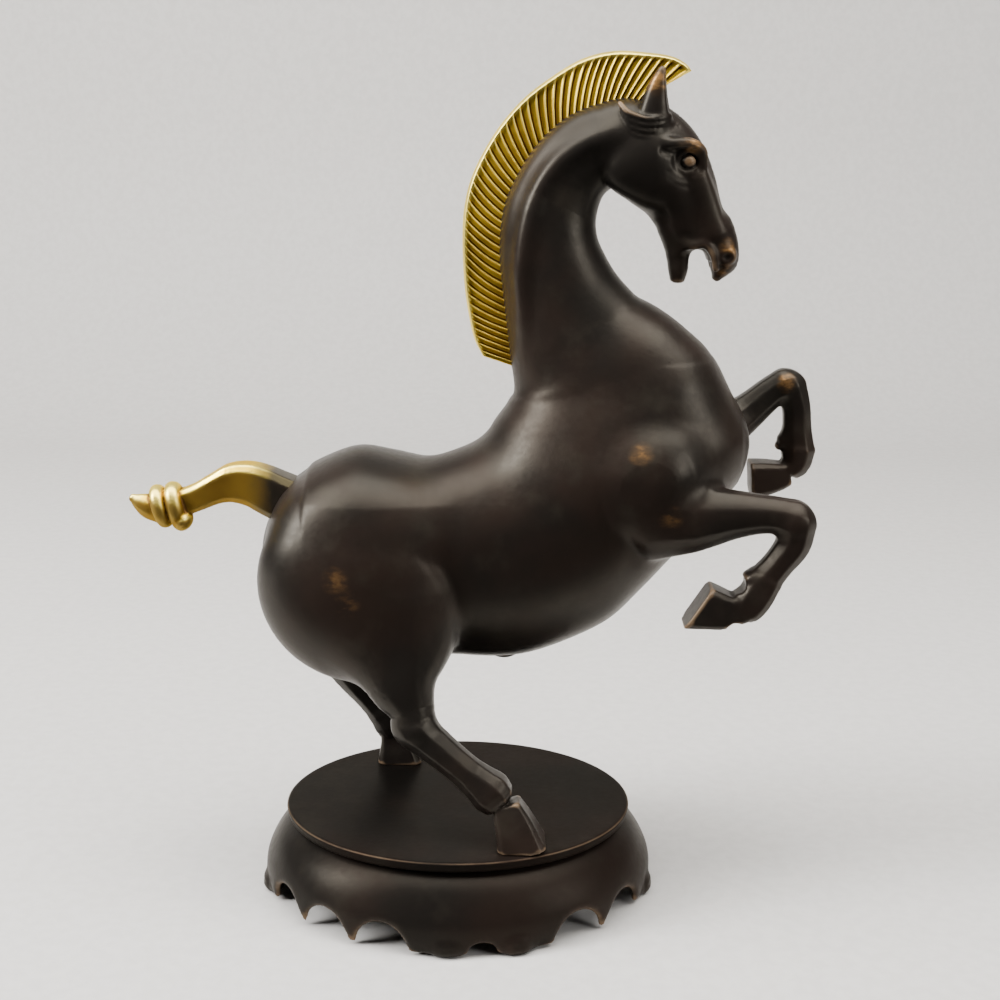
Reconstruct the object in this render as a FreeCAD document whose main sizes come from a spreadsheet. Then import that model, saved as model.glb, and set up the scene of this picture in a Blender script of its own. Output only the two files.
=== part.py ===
import FreeCAD, Part
import math
import os

# Bronze statuette of a rearing horse on an oval plate and a scroll-footed stand.
# Frame: +X the way the horse faces, +Y its left side, +Z up.
# Origin: below the middle of the whole figure, on the surface the stand rests on.
# Every form is laid out from the centre of the stand, then moved by stand_x as one.
# Millimetres.

V = FreeCAD.Vector
doc = FreeCAD.newDocument("HorseStatue")

# ---------------------------------------------------------------- sizes

SIZES = {
    "wall": 3.0,                # wall of the hollow body casting
    "gap": 0.15,                # clearance around spigots, tongue and screws
    "stand_x": -5.2,            # stand centre from the middle of the whole figure
    "plate_half_length": 49.0,
    "plate_half_width": 41.0,
    "plate_thick": 3.0,
    "plate_top": 24.5,
    "plate_edge_round": 0.8,
    "skirt_wall": 2.4,
    "scroll_radius": 3.4,
    "scroll_length": 8.6,
    "scroll_flat": 0.4,         # flat ground off the bottom of each scroll
    "foot_reach_x": 56.0,
    "foot_reach_y": 48.0,
    "arch_radius": 6.2,
    "arch_centre_z": 3.0,
    "arch_reach_x": 60.0,
    "arch_reach_y": 52.0,
    "arch_length": 70.0,
    "notch_radius": 4.2,        # small arch between the two scrolls of a foot
    "notch_centre_z": 1.6,
    "ground_length": 160.0,
    "ground_width": 140.0,
    "ground_depth": 10.0,
    "lug_radius": 4.5,
    "lug_height": 5.0,
    "lug_x": 29.0,
    "lug_y": 24.0,
    "screw_radius": 1.5,
    "screw_head_radius": 2.9,
    "screw_head_height": 2.2,
    "plate_screw_depth": 1.8,   # bite of a stand screw in the plate
    "hoof_screw_depth": 9.0,    # bite of a hoof screw above the plate
    "washer_radius": 4.6,
    "washer_thick": 1.0,
    "plug_radius": 3.2,
    "plug_length": 5.5,
    "spigot_radius": 3.2,
    "comb_thick": 3.8,
    "rib_thick": 5.2,
    "rib_width": 1.0,
    "rib_setback": 0.8,         # from the end of a rib to the edge of the comb
    "tongue_thick": 1.8,
    "comb_root": 4.2,           # depth of the comb's root below the crest of the neck
    "eye_radius": 2.8,
    "ear_radius": 3.4,
    "ear_tip_radius": 0.4,
    "ear_height": 11.5,
}

# Cross-sections, one row each: x, y, z of the centre, tilt of the long axis above
# +X in the XZ plane (degrees), half of the long axis, half of the width along Y.
STATIONS = {
    "torso": [
        (-54.2, 0, 90.5, 90, 4.5, 4.2),
        (-52.6, 0, 91.0, 90, 12.0, 11.0),
        (-49.0, 0, 92.5, 90, 19.5, 17.5),
        (-43.0, 0, 93.5, 90, 27.0, 22.5),
        (-33.0, 0, 95.5, 90, 31.0, 25.5),
        (-18.0, 0, 97.0, 90, 29.5, 25.5),
        (-3.0, 0, 97.5, 90, 29.0, 25.0),
        (12.0, 0, 101.0, 90, 32.5, 26.0),
        (27.0, 0, 107.5, 90, 35.0, 26.5),
        (42.0, 0, 115.0, 90, 35.0, 26.0),
        (55.0, 0, 122.0, 90, 31.0, 24.0),
        (66.0, 0, 127.5, 90, 23.5, 20.0),
        (74.0, 0, 129.5, 90, 14.5, 13.5),
        (78.5, 0, 130.5, 90, 6.0, 5.5),
    ],
    "neck": [
        (34.0, 0, 127.0, 16, 29.0, 21.0),
        (36.0, 0, 141.5, 15, 25.2, 20.0),
        (34.6, 0, 152.5, 13, 22.2, 18.0),
        (31.0, 0, 162.5, 9, 18.2, 15.0),
        (27.2, 0, 171.5, 5, 15.8, 12.5),
        (24.7, 0, 181.0, 0, 13.7, 11.0),
        (24.7, 0, 190.0, -5, 12.6, 10.2),
        (28.2, 0, 200.5, -20, 11.4, 9.8),
        (34.5, 0, 206.5, -50, 11.2, 9.8),
        (41.0, 0, 208.0, -78, 11.2, 9.8),
    ],
    "head": [
        (38.5, 0, 207.5, 96, 9.5, 8.4),
        (43.5, 0, 207.8, 84, 11.7, 10.6),
        (48.8, 0, 206.2, 66, 12.6, 11.6),
        (53.8, 0, 201.2, 52, 11.8, 10.6),
        (58.0, 0, 195.6, 43, 10.5, 9.0),
        (61.4, 0, 189.6, 35, 9.2, 7.6),
        (64.6, 0, 183.2, 24, 8.4, 7.0),
    ],
    "muzzle": [
        (67.0, 0, 184.0, 20, 6.0, 5.6),
        (69.0, 0, 180.6, 15, 5.7, 5.6),
        (70.0, 0, 177.2, 0, 4.3, 4.2),
        (69.8, 0, 174.0, 0, 2.2, 2.1),
    ],
    "jaw": [
        (58.4, 0, 184.0, 10, 3.6, 3.5),
        (58.6, 0, 179.0, 5, 3.3, 3.2),
        (58.6, 0, 175.2, 0, 2.9, 2.8),
        (58.4, 0, 172.3, 0, 1.6, 1.5),
    ],
    "right_foreleg": [
        (49.0, -14.0, 112.5, 88, 13.0, 9.0),
        (60.0, -18.5, 113.5, 88, 10.6, 8.0),
        (73.0, -20.5, 114.8, 90, 6.8, 6.2),
        (82.5, -20.5, 114.8, 86, 5.2, 5.0),
        (88.6, -20.5, 112.8, 45, 6.4, 5.6),
        (88.8, -20.5, 106.9, -14, 4.8, 4.6),
        (85.9, -20.5, 102.3, -33, 4.4, 4.2),
        (81.3, -20.5, 96.3, -38, 5.0, 4.8),
        (78.0, -20.5, 90.8, -55, 4.4, 4.3),
        (74.3, -20.5, 89.4, -82, 4.6, 4.5),
        (68.6, -20.5, 89.2, -102, 5.2, 5.0),
        (62.8, -20.5, 89.3, -121, 6.1, 5.9),
    ],
    "left_foreleg": [
        (62.0, 13.0, 126.0, 112, 12.0, 8.5),
        (71.0, 17.0, 130.5, 114, 9.6, 7.4),
        (80.5, 19.5, 134.6, 117, 6.6, 6.0),
        (87.2, 20.0, 139.0, 112, 4.9, 4.8),
        (92.2, 20.0, 140.9, 56, 5.8, 5.2),
        (94.8, 20.0, 135.2, 6, 4.3, 4.2),
        (95.8, 20.0, 129.0, -4, 4.1, 4.0),
        (96.6, 20.0, 122.6, -8, 4.9, 4.7),
        (95.6, 20.0, 117.6, -42, 4.2, 4.1),
        (92.2, 20.0, 115.6, -86, 4.5, 4.4),
        (87.6, 20.0, 115.0, -92, 5.0, 4.8),
        (82.7, 20.0, 114.6, -94, 5.4, 5.2),
    ],
    "right_hind_leg": [
        (-20.0, -15.0, 90.0, 10, 19.0, 9.0),
        (-18.0, -19.5, 78.0, 4, 17.0, 9.5),
        (-14.5, -22.5, 69.0, 2, 11.5, 8.4),
        (-11.4, -24.5, 60.5, 0, 6.4, 6.0),
        (-10.6, -26.0, 54.5, 26, 6.6, 5.6),
        (-4.6, -27.0, 50.2, 50, 5.1, 4.8),
        (1.6, -27.8, 45.6, 50, 4.6, 4.4),
        (7.6, -28.4, 41.0, 46, 4.8, 4.6),
        (12.2, -28.8, 37.6, 36, 5.7, 5.4),
        (14.6, -29.0, 33.6, 14, 5.2, 5.1),
        (16.0, -29.2, 29.6, 4, 6.2, 6.0),
        (17.7, -29.3, 24.5, 0, 7.0, 6.6),
    ],
    "left_hind_leg": [
        (-27.0, 15.0, 90.0, 0, 18.0, 9.0),
        (-29.0, 19.5, 77.0, 0, 16.0, 9.5),
        (-32.5, 22.5, 66.0, 4, 10.5, 8.2),
        (-34.8, 24.0, 58.5, 14, 7.0, 6.4),
        (-33.2, 25.0, 52.4, 30, 6.2, 5.4),
        (-29.2, 25.8, 46.8, 36, 4.9, 4.7),
        (-25.4, 26.6, 41.2, 36, 4.6, 4.4),
        (-21.9, 27.1, 36.4, 28, 5.4, 5.2),
        (-20.4, 27.3, 32.8, 10, 5.0, 4.9),
        (-19.6, 27.4, 29.4, 2, 5.9, 5.7),
        (-18.5, 27.5, 24.5, 0, 6.8, 6.5),
    ],
    "tail": [
        (-41.0, 0, 110.0, 118, 6.6, 6.0),
        (-48.5, 0, 114.6, 116, 6.6, 5.8),
        (-54.6, 0, 117.2, 100, 6.0, 5.4),
        (-60.6, 0, 117.6, 84, 5.4, 5.0),
        (-66.0, 0, 115.8, 76, 4.4, 4.3),
        (-70.8, 0, 113.6, 80, 3.8, 3.7),
        (-77.0, 0, 111.0, 84, 4.6, 4.5),
        (-83.5, 0, 110.4, 88, 3.4, 3.3),
        (-90.4, 0, 112.8, 96, 0.9, 0.8),
    ],
}

# Numbers of the cross-sections at which a limb bends sharply.
LIMB_CREASES = {
    "right_hind_leg": (4, 8),
    "left_hind_leg": (4, 7),
    "tail": (4,),
}

# Mane comb, one row each along the crest: inner x, z and outer x, z.
COMB = [
    (14.2, 150.9, 6.7, 152.6),
    (13.4, 157.5, 3.8, 161.5),
    (11.6, 170.0, 1.9, 173.5),
    (11.4, 182.0, 1.4, 186.0),
    (13.4, 195.0, 4.2, 201.0),
    (19.4, 205.8, 12.6, 214.6),
    (27.6, 213.2, 23.6, 224.8),
    (37.4, 218.0, 36.6, 231.2),
    (46.4, 220.4, 49.0, 231.6),
    (54.4, 221.6, 60.3, 226.9),
]
RIB_COUNT = 42
RIB_LEAN = 0.35                 # stations a rib gains along the crest on its way out

# Skirt of the stand, one row each: height, half length, half width.
SKIRT = [
    (21.5, 46.0, 38.0),
    (19.2, 49.6, 41.6),
    (15.2, 52.6, 44.6),
    (9.5, 54.6, 46.6),
    (4.0, 55.4, 47.4),
]

# Swellings of haunches and shoulders on the right side, mirrored to the left:
# x, y, z, half length, half width, half height.
SWELLINGS = [
    (-30.0, -12.5, 94.0, 22.0, 15.0, 28.0),
    (44.0, -12.0, 117.0, 20.0, 15.5, 25.0),
]

# Spigot of each soldered limb: the ring it starts from and its length.
SPIGOTS = {
    "right_foreleg": (0, 14.0),
    "left_foreleg": (0, 14.0),
    "right_hind_leg": (1, 15.0),
    "left_hind_leg": (1, 15.0),
    "tail": (0, 14.0),
}
# Round the stand from +X towards +Y, degrees: two scrolls to a foot, a notch between them,
# and arches from foot to foot.
SCROLL_ANGLES = (11.3, 71.5, 91.5, 168.7, 191.3, 268.5, 288.5, 348.7)
NOTCH_ANGLES = (0.0, 81.5, 180.0, 278.5)
ARCH_ANGLES = (31.4, 51.4, 110.8, 130.1, 149.4, 210.6, 229.9, 249.2, 308.6, 328.6)
EYE = (57.6, -8.4, 204.6)
EAR = (47.6, -6.6, 215.5)
EAR_LEAN = (0.22, 0.12)         # forward and outward for each unit of height
PLUG_BASE = (13.0, 0.0, 67.4)

sheet = doc.addObject("Spreadsheet::Sheet", "Sizes")
row_number = 0


def put(alias, value):
    """Write one size into the sheet under a word alias."""
    global row_number
    row_number += 1
    sheet.set("A%d" % row_number, alias)
    sheet.set("B%d" % row_number, str(value))
    sheet.setAlias("B%d" % row_number, alias)


def station(limb, number):
    """Alias stem of one cross-section of a limb."""
    return "%s_ring_%s" % (limb, "abcdefghijklmnop"[number])


for name, value in SIZES.items():
    put(name, value)
RING_FIELDS = ("x", "y", "z", "tilt", "half_long", "half_wide")
for limb, rows in STATIONS.items():
    for number, row in enumerate(rows):
        for field, value in zip(RING_FIELDS, row):
            put(station(limb, number) + "_" + field, value)
for number, row in enumerate(COMB):
    for field, value in zip(("inner_x", "inner_z", "outer_x", "outer_z"), row):
        put(station("comb", number) + "_" + field, value)
for number, row in enumerate(SKIRT):
    for field, value in zip(("height", "half_long", "half_wide"), row):
        put(station("skirt", number) + "_" + field, value)
doc.recompute()


def size(alias):
    """Present value of a sheet size."""
    return float(sheet.get(alias))


def bind(obj, **expressions):
    """Tie properties of a document object to the sheet."""
    for prop, expression in expressions.items():
        obj.setExpression(prop.replace("__", "."), expression)
    return obj


def add(kind, name):
    return doc.addObject(kind, name)


# ---------------------------------------------------------------- lofted forms

def ring(stem, shrink):
    """Elliptical cross-section of a limb, smaller all round by `shrink`."""
    obj = add("Part::Ellipse", stem)
    turn = FreeCAD.Rotation(V(0, 1, 0), -size(stem + "_tilt"))
    obj.Placement = FreeCAD.Placement(V(0, 0, 0), turn)
    less = " - " + shrink if shrink else ""
    return bind(
        obj,
        Placement__Base__x="Sizes.%s_x" % stem,
        Placement__Base__y="Sizes.%s_y" % stem,
        Placement__Base__z="Sizes.%s_z" % stem,
        MajorRadius="Sizes.%s_half_long%s" % (stem, less),
        MinorRadius="Sizes.%s_half_wide%s" % (stem, less),
    )


def smooth_loft(limb, name, shrink, first, last):
    """Smooth solid through the cross-sections first to last of a limb."""
    loft = add("Part::Loft", name)
    loft.Sections = [ring(station(limb, number), shrink) for number in range(first, last + 1)]
    loft.Solid = True
    loft.Ruled = False
    return loft


def boolean(kind, name, shapes):
    obj = add(kind, name)
    if kind == "Part::Cut":
        obj.Base, obj.Tool = shapes
    else:
        obj.Shapes = shapes
    return obj


def limb_loft(limb, name, shrink="", first=0, last=None):
    """Solid through the cross-sections of a limb, creased where the limb has a joint."""
    last = len(STATIONS[limb]) - 1 if last is None else last
    creases = LIMB_CREASES.get(limb, ())
    if not creases:
        return smooth_loft(limb, name, shrink, first, last)
    ends = (first,) + creases + (last,)
    spans = [
        smooth_loft(limb, "%s_span_%d" % (name, start), shrink, start, end)
        for start, end in zip(ends[:-1], ends[1:])
    ]
    return boolean("Part::MultiFuse", name, spans)


def ellipsoid(name, centre, half, shrink=0.0):
    """Ellipsoid by its three half sizes, standing on the given centre."""
    ball = Part.makeSphere(1.0)
    stretch = FreeCAD.Matrix()
    stretch.scale(half[0] - shrink, half[1] - shrink, half[2] - shrink)
    obj = add("Part::Feature", name)
    obj.Shape = ball.transformGeometry(stretch)
    obj.Placement = FreeCAD.Placement(V(*centre), FreeCAD.Rotation())
    return obj


def cylinder(name, radius, height, base, direction=(0, 0, 1)):
    """Cylinder with its radius and height given as sheet expressions."""
    obj = add("Part::Cylinder", name)
    turn = FreeCAD.Rotation(V(0, 0, 1), V(*direction))
    obj.Placement = FreeCAD.Placement(V(*base), turn)
    return bind(obj, Radius=radius, Height=height)


def mirrored(centre):
    """A point on the right side and its mirror image on the left."""
    return (centre, (centre[0], -centre[1], centre[2]))


def ring_centre(limb, number):
    stem = station(limb, number)
    return V(size(stem + "_x"), size(stem + "_y"), size(stem + "_z"))


def finish(obj, label):
    """Name a finished piece and move it from the stand's frame to the figure's."""
    obj.Label = label
    own_x = obj.Placement.Base.x
    obj.setExpression("Placement.Base.x", "Sizes.stand_x + %s" % own_x)
    PIECES.append(obj)
    return obj


PIECES = []

# ---------------------------------------------------------------- body casting

forms = [limb_loft(limb, limb + "_form") for limb in ("torso", "neck", "head", "muzzle", "jaw")]
for number, (x, y, z, half_x, half_y, half_z) in enumerate(SWELLINGS):
    for side, centre in enumerate(mirrored((x, y, z))):
        forms.append(ellipsoid("swelling_%d_%d" % (number, side), centre, (half_x, half_y, half_z)))
for side, centre in enumerate(mirrored(EYE)):
    eye = add("Part::Sphere", "eye_%d" % side)
    eye.Placement.Base = V(*centre)
    forms.append(bind(eye, Radius="Sizes.eye_radius"))
for side, centre in enumerate(mirrored(EAR)):
    ear = add("Part::Cone", "ear_%d" % side)
    outward = math.copysign(EAR_LEAN[1], centre[1])
    lean = FreeCAD.Rotation(V(0, 0, 1), V(EAR_LEAN[0], outward, 1.0))
    ear.Placement = FreeCAD.Placement(V(*centre), lean)
    forms.append(bind(
        ear,
        Radius1="Sizes.ear_radius",
        Radius2="Sizes.ear_tip_radius",
        Height="Sizes.ear_height",
    ))
outside = boolean("Part::MultiFuse", "outside", forms)

last_torso = len(STATIONS["torso"]) - 1
cavity = boolean("Part::MultiFuse", "cavity", [
    limb_loft("torso", "torso_hollow", "Sizes.wall", 1, last_torso - 1),
    limb_loft("neck", "neck_hollow", "Sizes.wall", 0, 8),
])


def spigot(limb, name, clearance=""):
    """Round spigot from a limb into the wall of the body, or its socket with clearance."""
    number, length = SPIGOTS[limb]
    start = ring_centre(limb, number)
    way = ring_centre(limb, number + 1) - start
    radius = "Sizes.spigot_radius" + clearance
    return cylinder(name, radius, str(length), tuple(start), tuple(way))


# ---------------------------------------------------------------- mane comb

def comb_edge(side, shift=0.0, trim=0):
    """Smooth inner or outer edge of the comb, shifted towards the neck, ends left off by `trim`."""
    points = []
    for number in range(trim, len(COMB) - trim):
        stem = station("comb", number)
        inner = V(size(stem + "_inner_x"), 0, size(stem + "_inner_z"))
        outer = V(size(stem + "_outer_x"), 0, size(stem + "_outer_z"))
        down = (inner - outer).normalize() * shift
        points.append(outer + down if side == "outer" else inner + down)
    curve = Part.BSplineCurve()
    curve.interpolate(points)
    return curve


def slab(outline, thickness):
    """Flat plate of the given thickness, centred on the plane of symmetry."""
    face = Part.Face(outline)
    face.translate(V(0, -thickness / 2.0, 0))
    return face.extrude(V(0, thickness, 0))


def comb_slab(thickness, root, inset=0.0, trim=0):
    """Slab between the edges of the comb, rooted in the neck, its outer edge set in by `inset`."""
    inner = comb_edge("inner", root, trim).toShape()
    outer = comb_edge("outer", inset, trim).toShape()
    start = Part.makeLine(outer.Vertexes[0].Point, inner.Vertexes[0].Point)
    end = Part.makeLine(inner.Vertexes[-1].Point, outer.Vertexes[-1].Point)
    return slab(Part.Wire([inner, end, outer, start]), thickness)


def comb_ribs():
    """Raised ribs that run from the crest of the neck to the edge of the comb."""
    inner = comb_edge("inner")
    outer = comb_edge("outer")
    half = size("rib_width") / 2.0
    lean = RIB_LEAN / (len(COMB) - 1)
    bars = []
    for number in range(RIB_COUNT):
        at = (number + 0.5) / RIB_COUNT * (1.0 - lean)
        root = inner.value(at)
        tip = outer.value(at + lean)
        along = (tip - root).normalize()
        across = V(along.z, 0, -along.x) * half
        root = root - along * (size("comb_root") - 0.6)
        tip = tip - along * size("rib_setback")
        corners = [root - across, tip - across, tip + across, root + across]
        bars.append(slab(Part.makePolygon(corners + corners[:1]), size("rib_thick")))
    return bars


def comb_tongue(thickness):
    """Thin tongue along the root of the comb, or its slot in the neck."""
    return comb_slab(thickness, size("comb_root") + 1.0, 3.0, 1)


def coded(name, shape):
    """Document object around a shape that the code above has drawn."""
    obj = add("Part::Feature", name)
    obj.Shape = shape
    return obj


comb_parts = [coded("comb_plate", comb_slab(size("comb_thick"), size("comb_root")))]
comb_parts += [coded("comb_rib_%d" % number, bar) for number, bar in enumerate(comb_ribs())]
ribbed = boolean("Part::MultiFuse", "comb_ribbed", comb_parts)
tongue = coded("comb_tongue", comb_tongue(size("tongue_thick")))
neck_around = boolean("Part::Cut", "neck_around_tongue", (outside, tongue))
comb = boolean("Part::Cut", "comb_on_neck", (ribbed, neck_around))
finish(comb, "mane_comb")

# ---------------------------------------------------------------- body with its sockets

sockets = [spigot(limb, limb + "_socket", " + Sizes.gap") for limb in SPIGOTS]
sockets.append(coded("comb_slot", comb_tongue(size("tongue_thick") + 2 * size("gap"))))
sockets.append(cylinder(
    "plug_hole", "Sizes.plug_radius + Sizes.gap", "Sizes.plug_length", PLUG_BASE))
hollowed = boolean("Part::Cut", "hollowed", (outside, cavity))
socket_set = boolean("Part::MultiFuse", "socket_set", sockets)
finish(boolean("Part::Cut", "body_with_sockets", (hollowed, socket_set)), "body_casting")
plug = cylinder("plug_solid", "Sizes.plug_radius", "Sizes.plug_length", PLUG_BASE)
finish(plug, "belly_plug")

# ---------------------------------------------------------------- legs and tail

screw_holes = {}
for limb in SPIGOTS:
    loft = limb_loft(limb, limb + "_form")
    around = boolean("Part::Cut", limb + "_around", (outside, spigot(limb, limb + "_spigot")))
    whole = boolean("Part::Cut", limb + "_whole", (loft, around))
    if limb.endswith("hind_leg"):
        sole = ring_centre(limb, len(STATIONS[limb]) - 1)
        hole = cylinder(
            limb + "_screw_hole",
            "Sizes.screw_radius + Sizes.gap",
            "Sizes.hoof_screw_depth + Sizes.gap",
            (sole.x, sole.y, size("plate_top")),
        )
        whole = boolean("Part::Cut", limb + "_drilled", (whole, hole))
        screw_holes[limb] = (sole.x, sole.y)
    finish(whole, limb)

# ---------------------------------------------------------------- oval plate

plate_bottom = size("plate_top") - size("plate_thick")
oval = add("Part::Ellipse", "plate_oval")
oval.Placement.Base = V(0, 0, plate_bottom)
bind(oval, MajorRadius="Sizes.plate_half_length", MinorRadius="Sizes.plate_half_width")
plate_blank = add("Part::Extrusion", "plate_blank")
plate_blank.Base = oval
plate_blank.DirMode = "Custom"
plate_blank.Dir = V(0, 0, 1)
plate_blank.Solid = True
bind(plate_blank, LengthFwd="Sizes.plate_thick")
doc.recompute()
plate_round = add("Part::Fillet", "plate_round")
plate_round.Base = plate_blank
edge_radius = size("plate_edge_round")
plate_round.Edges = [
    (number, edge_radius, edge_radius)
    for number, edge in enumerate(plate_blank.Shape.Edges, 1)
    if edge.Closed
]

lug_spots = [
    (sign_x * size("lug_x"), sign_y * size("lug_y"))
    for sign_x in (1, -1)
    for sign_y in (1, -1)
]
plate_holes = [
    cylinder("hoof_screw_hole_" + limb, "Sizes.screw_radius + Sizes.gap", "Sizes.plate_thick",
             (x, y, plate_bottom))
    for limb, (x, y) in screw_holes.items()
]
for number, (x, y) in enumerate(lug_spots):
    plate_holes.append(cylinder(
        "plate_screw_hole_%d" % number, "Sizes.screw_radius + Sizes.gap",
        "Sizes.plate_screw_depth + Sizes.gap", (x, y, plate_bottom)))
plate_hole_set = boolean("Part::MultiFuse", "plate_hole_set", plate_holes)
finish(boolean("Part::Cut", "plate_drilled", (plate_round, plate_hole_set)), "base_plate")

# ---------------------------------------------------------------- stand

def skirt_loft(name, inset=""):
    """Flared oval wall of the stand, from its foot to its rim."""
    loft = add("Part::Loft", name)
    sections = []
    for number in range(len(SKIRT)):
        stem = station("skirt", number)
        oval_ring = add("Part::Ellipse", name + "_" + stem)
        sections.append(bind(
            oval_ring,
            Placement__Base__z="Sizes.%s_height" % stem,
            MajorRadius="Sizes.%s_half_long%s" % (stem, inset),
            MinorRadius="Sizes.%s_half_wide%s" % (stem, inset),
        ))
    loft.Sections = sections
    loft.Solid = True
    return loft


scroll_rise = size("scroll_radius") - size("scroll_flat")
reach_x = size("foot_reach_x") - size("scroll_radius")
reach_y = size("foot_reach_y") - size("scroll_radius")


def on_oval(angle, half_long, half_wide):
    """Point of an oval round the stand and the direction of the oval there."""
    turned = math.radians(angle)
    point = V(math.cos(turned) * half_long, math.sin(turned) * half_wide, 0)
    way = V(-math.sin(turned) * half_long, math.cos(turned) * half_wide, 0)
    return point, way.normalize()


def opening(name, angle, radius, centre_z):
    """Round bar that cuts one arch through the skirt."""
    outward, _ = on_oval(angle, size("arch_reach_x"), size("arch_reach_y"))
    return cylinder(
        name, radius, "Sizes.arch_length", (0, 0, size(centre_z)), tuple(outward))


arches = [
    opening("arch_%d" % number, angle, "Sizes.arch_radius", "arch_centre_z")
    for number, angle in enumerate(ARCH_ANGLES)
]
arches += [
    opening("notch_%d" % number, angle, "Sizes.notch_radius", "notch_centre_z")
    for number, angle in enumerate(NOTCH_ANGLES)
]
arch_set = boolean("Part::MultiFuse", "arch_set", arches)
skirt = boolean("Part::Cut", "skirt_wall", (
    skirt_loft("skirt_outside"), skirt_loft("skirt_inside", " - Sizes.skirt_wall")))
arcade = boolean("Part::Cut", "skirt_arcade", (skirt, arch_set))
scrolls = []
for number, angle in enumerate(SCROLL_ANGLES):
    middle, way = on_oval(angle, reach_x, reach_y)
    start = middle - way * (size("scroll_length") / 2.0)
    scrolls.append(cylinder(
        "scroll_%d" % number, "Sizes.scroll_radius", "Sizes.scroll_length",
        (start.x, start.y, scroll_rise), tuple(way)))
lug_top = plate_bottom - size("lug_height")
lugs = [
    cylinder("lug_%d" % number, "Sizes.lug_radius", "Sizes.lug_height", (x, y, lug_top))
    for number, (x, y) in enumerate(lug_spots)
]
stand_solid = boolean("Part::MultiFuse", "stand_solid", [arcade] + scrolls + lugs)
ground = bind(
    add("Part::Box", "ground"),
    Length="Sizes.ground_length",
    Width="Sizes.ground_width",
    Height="Sizes.ground_depth",
    Placement__Base__x="-Sizes.ground_length / 2",
    Placement__Base__y="-Sizes.ground_width / 2",
    Placement__Base__z="-Sizes.ground_depth",
)
lug_holes = [
    cylinder("lug_hole_%d" % number, "Sizes.screw_radius + Sizes.gap", "Sizes.lug_height",
             (x, y, lug_top))
    for number, (x, y) in enumerate(lug_spots)
]
stand_tools = boolean("Part::MultiFuse", "stand_tools", [ground] + lug_holes)
finish(boolean("Part::Cut", "stand_cut", (stand_solid, stand_tools)), "stand")

# ---------------------------------------------------------------- fasteners underneath

def screw(name, spot, seat, length):
    """Round-headed screw driven upwards, its head below the height `seat`."""
    head_low = seat - size("screw_head_height")
    shank = cylinder(name + "_shank", "Sizes.screw_radius", length, spot + (seat,))
    cap = cylinder(name + "_head", "Sizes.screw_head_radius", "Sizes.screw_head_height",
                   spot + (head_low,))
    return boolean("Part::MultiFuse", name, [shank, cap])


washer_low = plate_bottom - size("washer_thick")
hoof_screws = []
washers = []
for limb, spot in screw_holes.items():
    length = "Sizes.washer_thick + Sizes.plate_thick + Sizes.hoof_screw_depth"
    hoof_screws.append(screw(limb + "_screw", spot, washer_low, length))
    disc = cylinder(limb + "_washer_disc", "Sizes.washer_radius", "Sizes.washer_thick",
                    spot + (washer_low,))
    bore = cylinder(limb + "_washer_bore", "Sizes.screw_radius + Sizes.gap",
                    "Sizes.washer_thick", spot + (washer_low,))
    washers.append(boolean("Part::Cut", limb + "_washer", (disc, bore)))
plate_screws = [
    screw("plate_screw_%d" % number, spot, lug_top, "Sizes.lug_height + Sizes.plate_screw_depth")
    for number, spot in enumerate(lug_spots)
]


def together(name, solids):
    """Loose solids of one kind kept as one piece of the set."""
    group = add("Part::Compound", name)
    group.Links = solids
    return group


finish(together("hoof_screw_pair", hoof_screws), "hoof_screws")
finish(together("washer_pair", washers), "hoof_washers")
finish(together("plate_screw_set", plate_screws), "plate_screws")

# ---------------------------------------------------------------- check and write

doc.recompute()
for obj in doc.Objects:
    if "Invalid" in obj.State or "Error" in obj.State:
        raise RuntimeError("%s does not compute: %s" % (obj.Label, obj.State))
os.makedirs("parts", exist_ok=True)
for piece in PIECES:
    shape = piece.Shape
    if shape.isNull() or not shape.isValid():
        raise RuntimeError("%s has no valid shape" % piece.Label)
    shape.exportStep("parts/%s.step" % piece.Label)
    print("%-16s %8.0f mm3, %d solid(s)" % (piece.Label, shape.Volume, len(shape.Solids)))
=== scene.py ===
"""Looks for the rearing horse statuette: bronze horse, gilt mane and tail, plate, footed stand.

Forms are laid out in millimetres from the centre of the stand, then moved to the part's own frame.
The horse faces +X, its right side is towards -Y, and shapes marked as pairs are mirrored to the
left. Each carved form is a field of distances, below zero inside, that shapes are joined to or
carved out of, and then a mesh over its zero level.
"""

import math

import bmesh
import bpy
import numpy as np
import openvdb
from mathutils import Euler, Matrix, Vector


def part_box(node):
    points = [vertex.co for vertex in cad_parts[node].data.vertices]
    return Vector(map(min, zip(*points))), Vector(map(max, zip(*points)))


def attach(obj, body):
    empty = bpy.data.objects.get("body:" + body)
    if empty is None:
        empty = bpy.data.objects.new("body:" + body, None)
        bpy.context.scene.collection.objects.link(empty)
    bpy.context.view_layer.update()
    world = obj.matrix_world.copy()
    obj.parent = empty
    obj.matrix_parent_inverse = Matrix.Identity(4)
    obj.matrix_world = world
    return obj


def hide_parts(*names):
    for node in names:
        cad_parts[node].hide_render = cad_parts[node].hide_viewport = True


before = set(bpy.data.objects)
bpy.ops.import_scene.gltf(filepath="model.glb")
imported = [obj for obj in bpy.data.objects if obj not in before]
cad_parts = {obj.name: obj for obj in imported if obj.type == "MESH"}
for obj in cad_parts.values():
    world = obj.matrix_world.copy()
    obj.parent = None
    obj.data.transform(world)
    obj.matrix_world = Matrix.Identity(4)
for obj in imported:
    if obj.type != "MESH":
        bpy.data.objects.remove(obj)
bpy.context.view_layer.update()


plate_lo, plate_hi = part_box("base_plate")
MM = 0.001
STAND_X = (plate_lo[0] + plate_hi[0]) / 2 / MM
PLATE_TOP = plate_hi[2] / MM

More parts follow.
